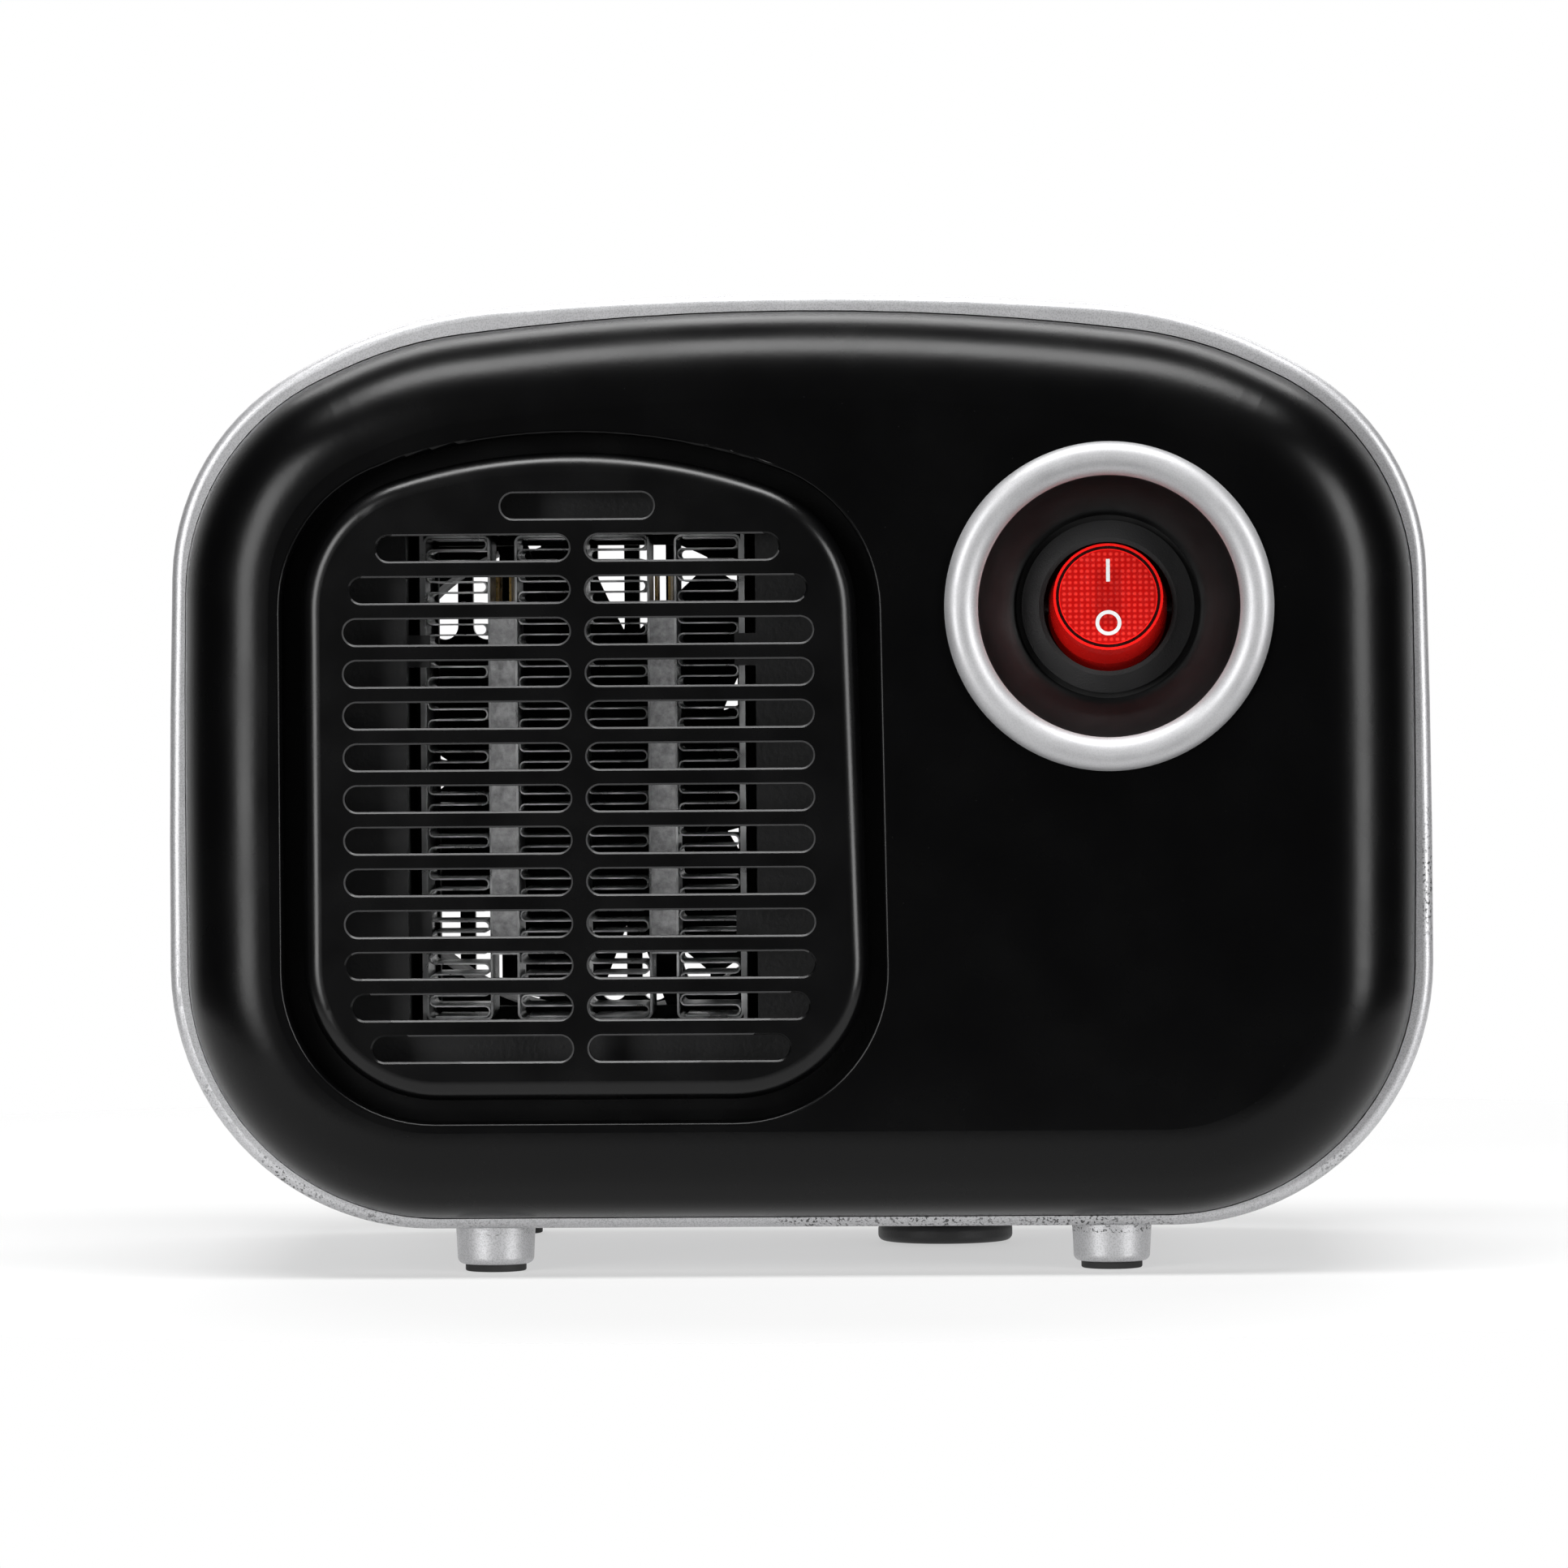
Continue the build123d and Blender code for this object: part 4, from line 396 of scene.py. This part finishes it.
SURFACES = {
    "silver_paint": silver_paint(),
    "silver_ring": silver_ring(),
    "black_satin_shell": black_satin(),
    "black_gloss_plastic": black_gloss(),
    "black_matte_plastic": plastic("black_matte_plastic", (0.012, 0.012, 0.0125), 0.5, 0.00022, 0.00004),
    "red_translucent_plastic": red_rocker(),
    "white_print": plastic("white_print", (0.86, 0.86, 0.86), 0.4, 0.0001, 0.000004, 0.05),
    "brass_contact": metal("brass_contact", (0.76, 0.52, 0.2), 0.28),
    "tinned_brass": metal("tinned_brass", (0.66, 0.65, 0.6), 0.34),
    "lamp_glass": plastic("lamp_glass", (0.25, 0.05, 0.03), 0.08, Transmission_Weight=0.6, IOR=1.5),
    "black_rubber": plastic("black_rubber", (0.012, 0.012, 0.012), 0.75, 0.0003, 0.00004, 0.4),
    "aluminium_fin": metal("aluminium_fin", (0.9, 0.91, 0.92), 0.32, (1.0, 12.0, 1.0), 0.00001),
    "aluminium_tube": dull_tube(),
    "ceramic": ceramic(),
    "heat_resistant_plastic": plastic(
        "heat_resistant_plastic", (0.006, 0.006, 0.0065), 0.5, 0.0006, 0.00004
    ),
    "steel": metal("steel", (0.56, 0.56, 0.57), 0.3),
    "copper_wire": copper_coils(),
    "bronze_bearing": metal("bronze_bearing", (0.5, 0.35, 0.18), 0.45, (1.0, 1.0, 1.0), 0.00003),
    "circuit_board": circuit_board(),
    "grey_plastic": plastic("grey_plastic", (0.3, 0.3, 0.31), 0.45, 0.0004, 0.00002),
    "capacitor_sleeve": plastic("capacitor_sleeve", (0.012, 0.014, 0.03), 0.25, 0.001, 0.00001),
    "white_plastic": plastic("white_plastic", (0.8, 0.8, 0.77), 0.4, 0.0005, 0.00001, 0.06),
}

# Nodes listed here have a surface of their own in place of their material slot's.
OWN_SURFACES = {"switch_dish": dish_black()}

for entry in frame["record"]["subparts"]:
    node = nodes[entry["node"]]
    surface = OWN_SURFACES.get(entry["node"], SURFACES[entry["material_slot"]])
    node.data.materials.clear()
    node.data.materials.append(surface.material)


# ---------------------------------------------------------------- floor and light
FLOOR_RADIUS = 0.27
FLOOR_CENTRE = (0.0, 0.12, 0.0)
FLOOR_GLOW = 0.5


def floor_material():
    """Matt pale panel that glows a little by itself, very slightly uneven."""
    surface = Surface("studio_panel", (0.3, 0.3, 0.3), 0.8, Specular_IOR_Level=0.2)
    surface.tint(surface.noise(0.2, 3.0), (0.29, 0.29, 0.29), (0.31, 0.31, 0.31))
    surface.shader.inputs["Emission Color"].default_value = (1.0, 1.0, 1.0, 1.0)
    surface.shader.inputs["Emission Strength"].default_value = FLOOR_GLOW
    surface.bump(surface.noise(0.002, 3.0), 0.00001)
    return surface.material


def make_floor(radius, centre):
    """Round pale panel under the heater, most of it behind."""
    mesh = bpy.data.meshes.new("floor")
    build = bmesh.new()
    bmesh.ops.create_circle(build, cap_ends=True, segments=96, radius=radius)
    build.to_mesh(mesh)
    build.free()
    mesh.materials.append(floor_material())
    floor = bpy.data.objects.new("floor", mesh)
    floor.location = centre
    bpy.context.scene.collection.objects.link(floor)


def area_light(name, place, target, size, radiance):
    """Rectangular soft light aimed at a point; its power is its radiance times its area times pi."""
    data = bpy.data.lights.new(name, "AREA")
    data.shape = "RECTANGLE"
    data.size, data.size_y = size
    data.energy = radiance * math.pi * size[0] * size[1]
    light = bpy.data.objects.new(name, data)
    light.location = place
    light.rotation_euler = (Vector(target) - Vector(place)).to_track_quat("-Z", "Y").to_euler()
    bpy.context.scene.collection.objects.link(light)


def make_world(dark, pale):
    """Room that is pale only behind the heater, and plain white behind the picture."""
    world = bpy.data.worlds.new("studio")
    world.use_nodes = True
    tree = world.node_tree
    room = tree.nodes["Background"]
    room.inputs["Strength"].default_value = 1.0
    direction = tree.nodes.new("ShaderNodeTexCoord")
    split = tree.nodes.new("ShaderNodeSeparateXYZ")
    tree.links.new(direction.outputs["Generated"], split.inputs["Vector"])
    level = tree.nodes.new("ShaderNodeMapRange")
    level.interpolation_type = "SMOOTHSTEP"
    for name, value in (("From Min", 0.3), ("From Max", 0.95), ("To Min", dark), ("To Max", pale)):
        level.inputs[name].default_value = value
    tree.links.new(split.outputs["Y"], level.inputs["Value"])
    tree.links.new(level.outputs["Result"], room.inputs["Color"])
    backdrop = tree.nodes.new("ShaderNodeBackground")
    backdrop.inputs["Color"].default_value = (1.0, 1.0, 1.0, 1.0)
    rays = tree.nodes.new("ShaderNodeLightPath")
    mix = tree.nodes.new("ShaderNodeMixShader")
    tree.links.new(rays.outputs["Is Camera Ray"], mix.inputs[0])
    tree.links.new(room.outputs[0], mix.inputs[1])
    tree.links.new(backdrop.outputs[0], mix.inputs[2])
    tree.links.new(mix.outputs[0], tree.nodes["World Output"].inputs["Surface"])
    bpy.context.scene.world = world


make_floor(FLOOR_RADIUS, FLOOR_CENTRE)
low, high = cad_box
middle = Vector(((low[0] + high[0]) / 2, (low[1] + high[1]) / 2, (low[2] + high[2]) / 2))
area_light("left_softbox", (-0.85, -1.15, 0.3), middle, (0.45, 1.0), 10.0)
area_light("right_softbox", (1.1, -0.95, 0.3), middle, (0.45, 1.0), 10.0)
area_light("top_softbox", (0.0, -0.35, 1.3), (0.0, 0.0, 0.0), (1.3, 0.42), 14.0)
area_light("back_softbox", (0.0, 0.9, 1.2), (0.0, 0.0, 0.0), (1.6, 0.5), 3.5)
make_world(0.03, 1.0)
bpy.context.scene.view_settings.view_transform = "Standard"

# ---------------------------------------------------------------- camera
CAMERA_DISTANCE = 1.1
CAMERA_AZIMUTH = math.radians(1.4)
CAMERA_ELEVATION = math.radians(1.0)
CAMERA_ROLL = math.radians(-0.4)
CAMERA_AIM = (-0.002, -0.04, 0.0653)
LENS_LENGTH = 189.5  # mm
SENSOR_WIDTH = 36.0  # mm
camera_data = bpy.data.cameras.new("camera")
camera_data.lens = LENS_LENGTH
camera_data.sensor_width = SENSOR_WIDTH
camera = bpy.data.objects.new("camera", camera_data)
bpy.context.scene.collection.objects.link(camera)
back = Vector(
    (
        math.sin(CAMERA_AZIMUTH) * math.cos(CAMERA_ELEVATION),
        -math.cos(CAMERA_AZIMUTH) * math.cos(CAMERA_ELEVATION),
        math.sin(CAMERA_ELEVATION),
    )
)
camera.location = Vector(CAMERA_AIM) + back * CAMERA_DISTANCE
camera.rotation_mode = "QUATERNION"
camera.rotation_quaternion = Quaternion(back, CAMERA_ROLL) @ (-back).to_track_quat("-Z", "Y")
bpy.context.scene.camera = camera
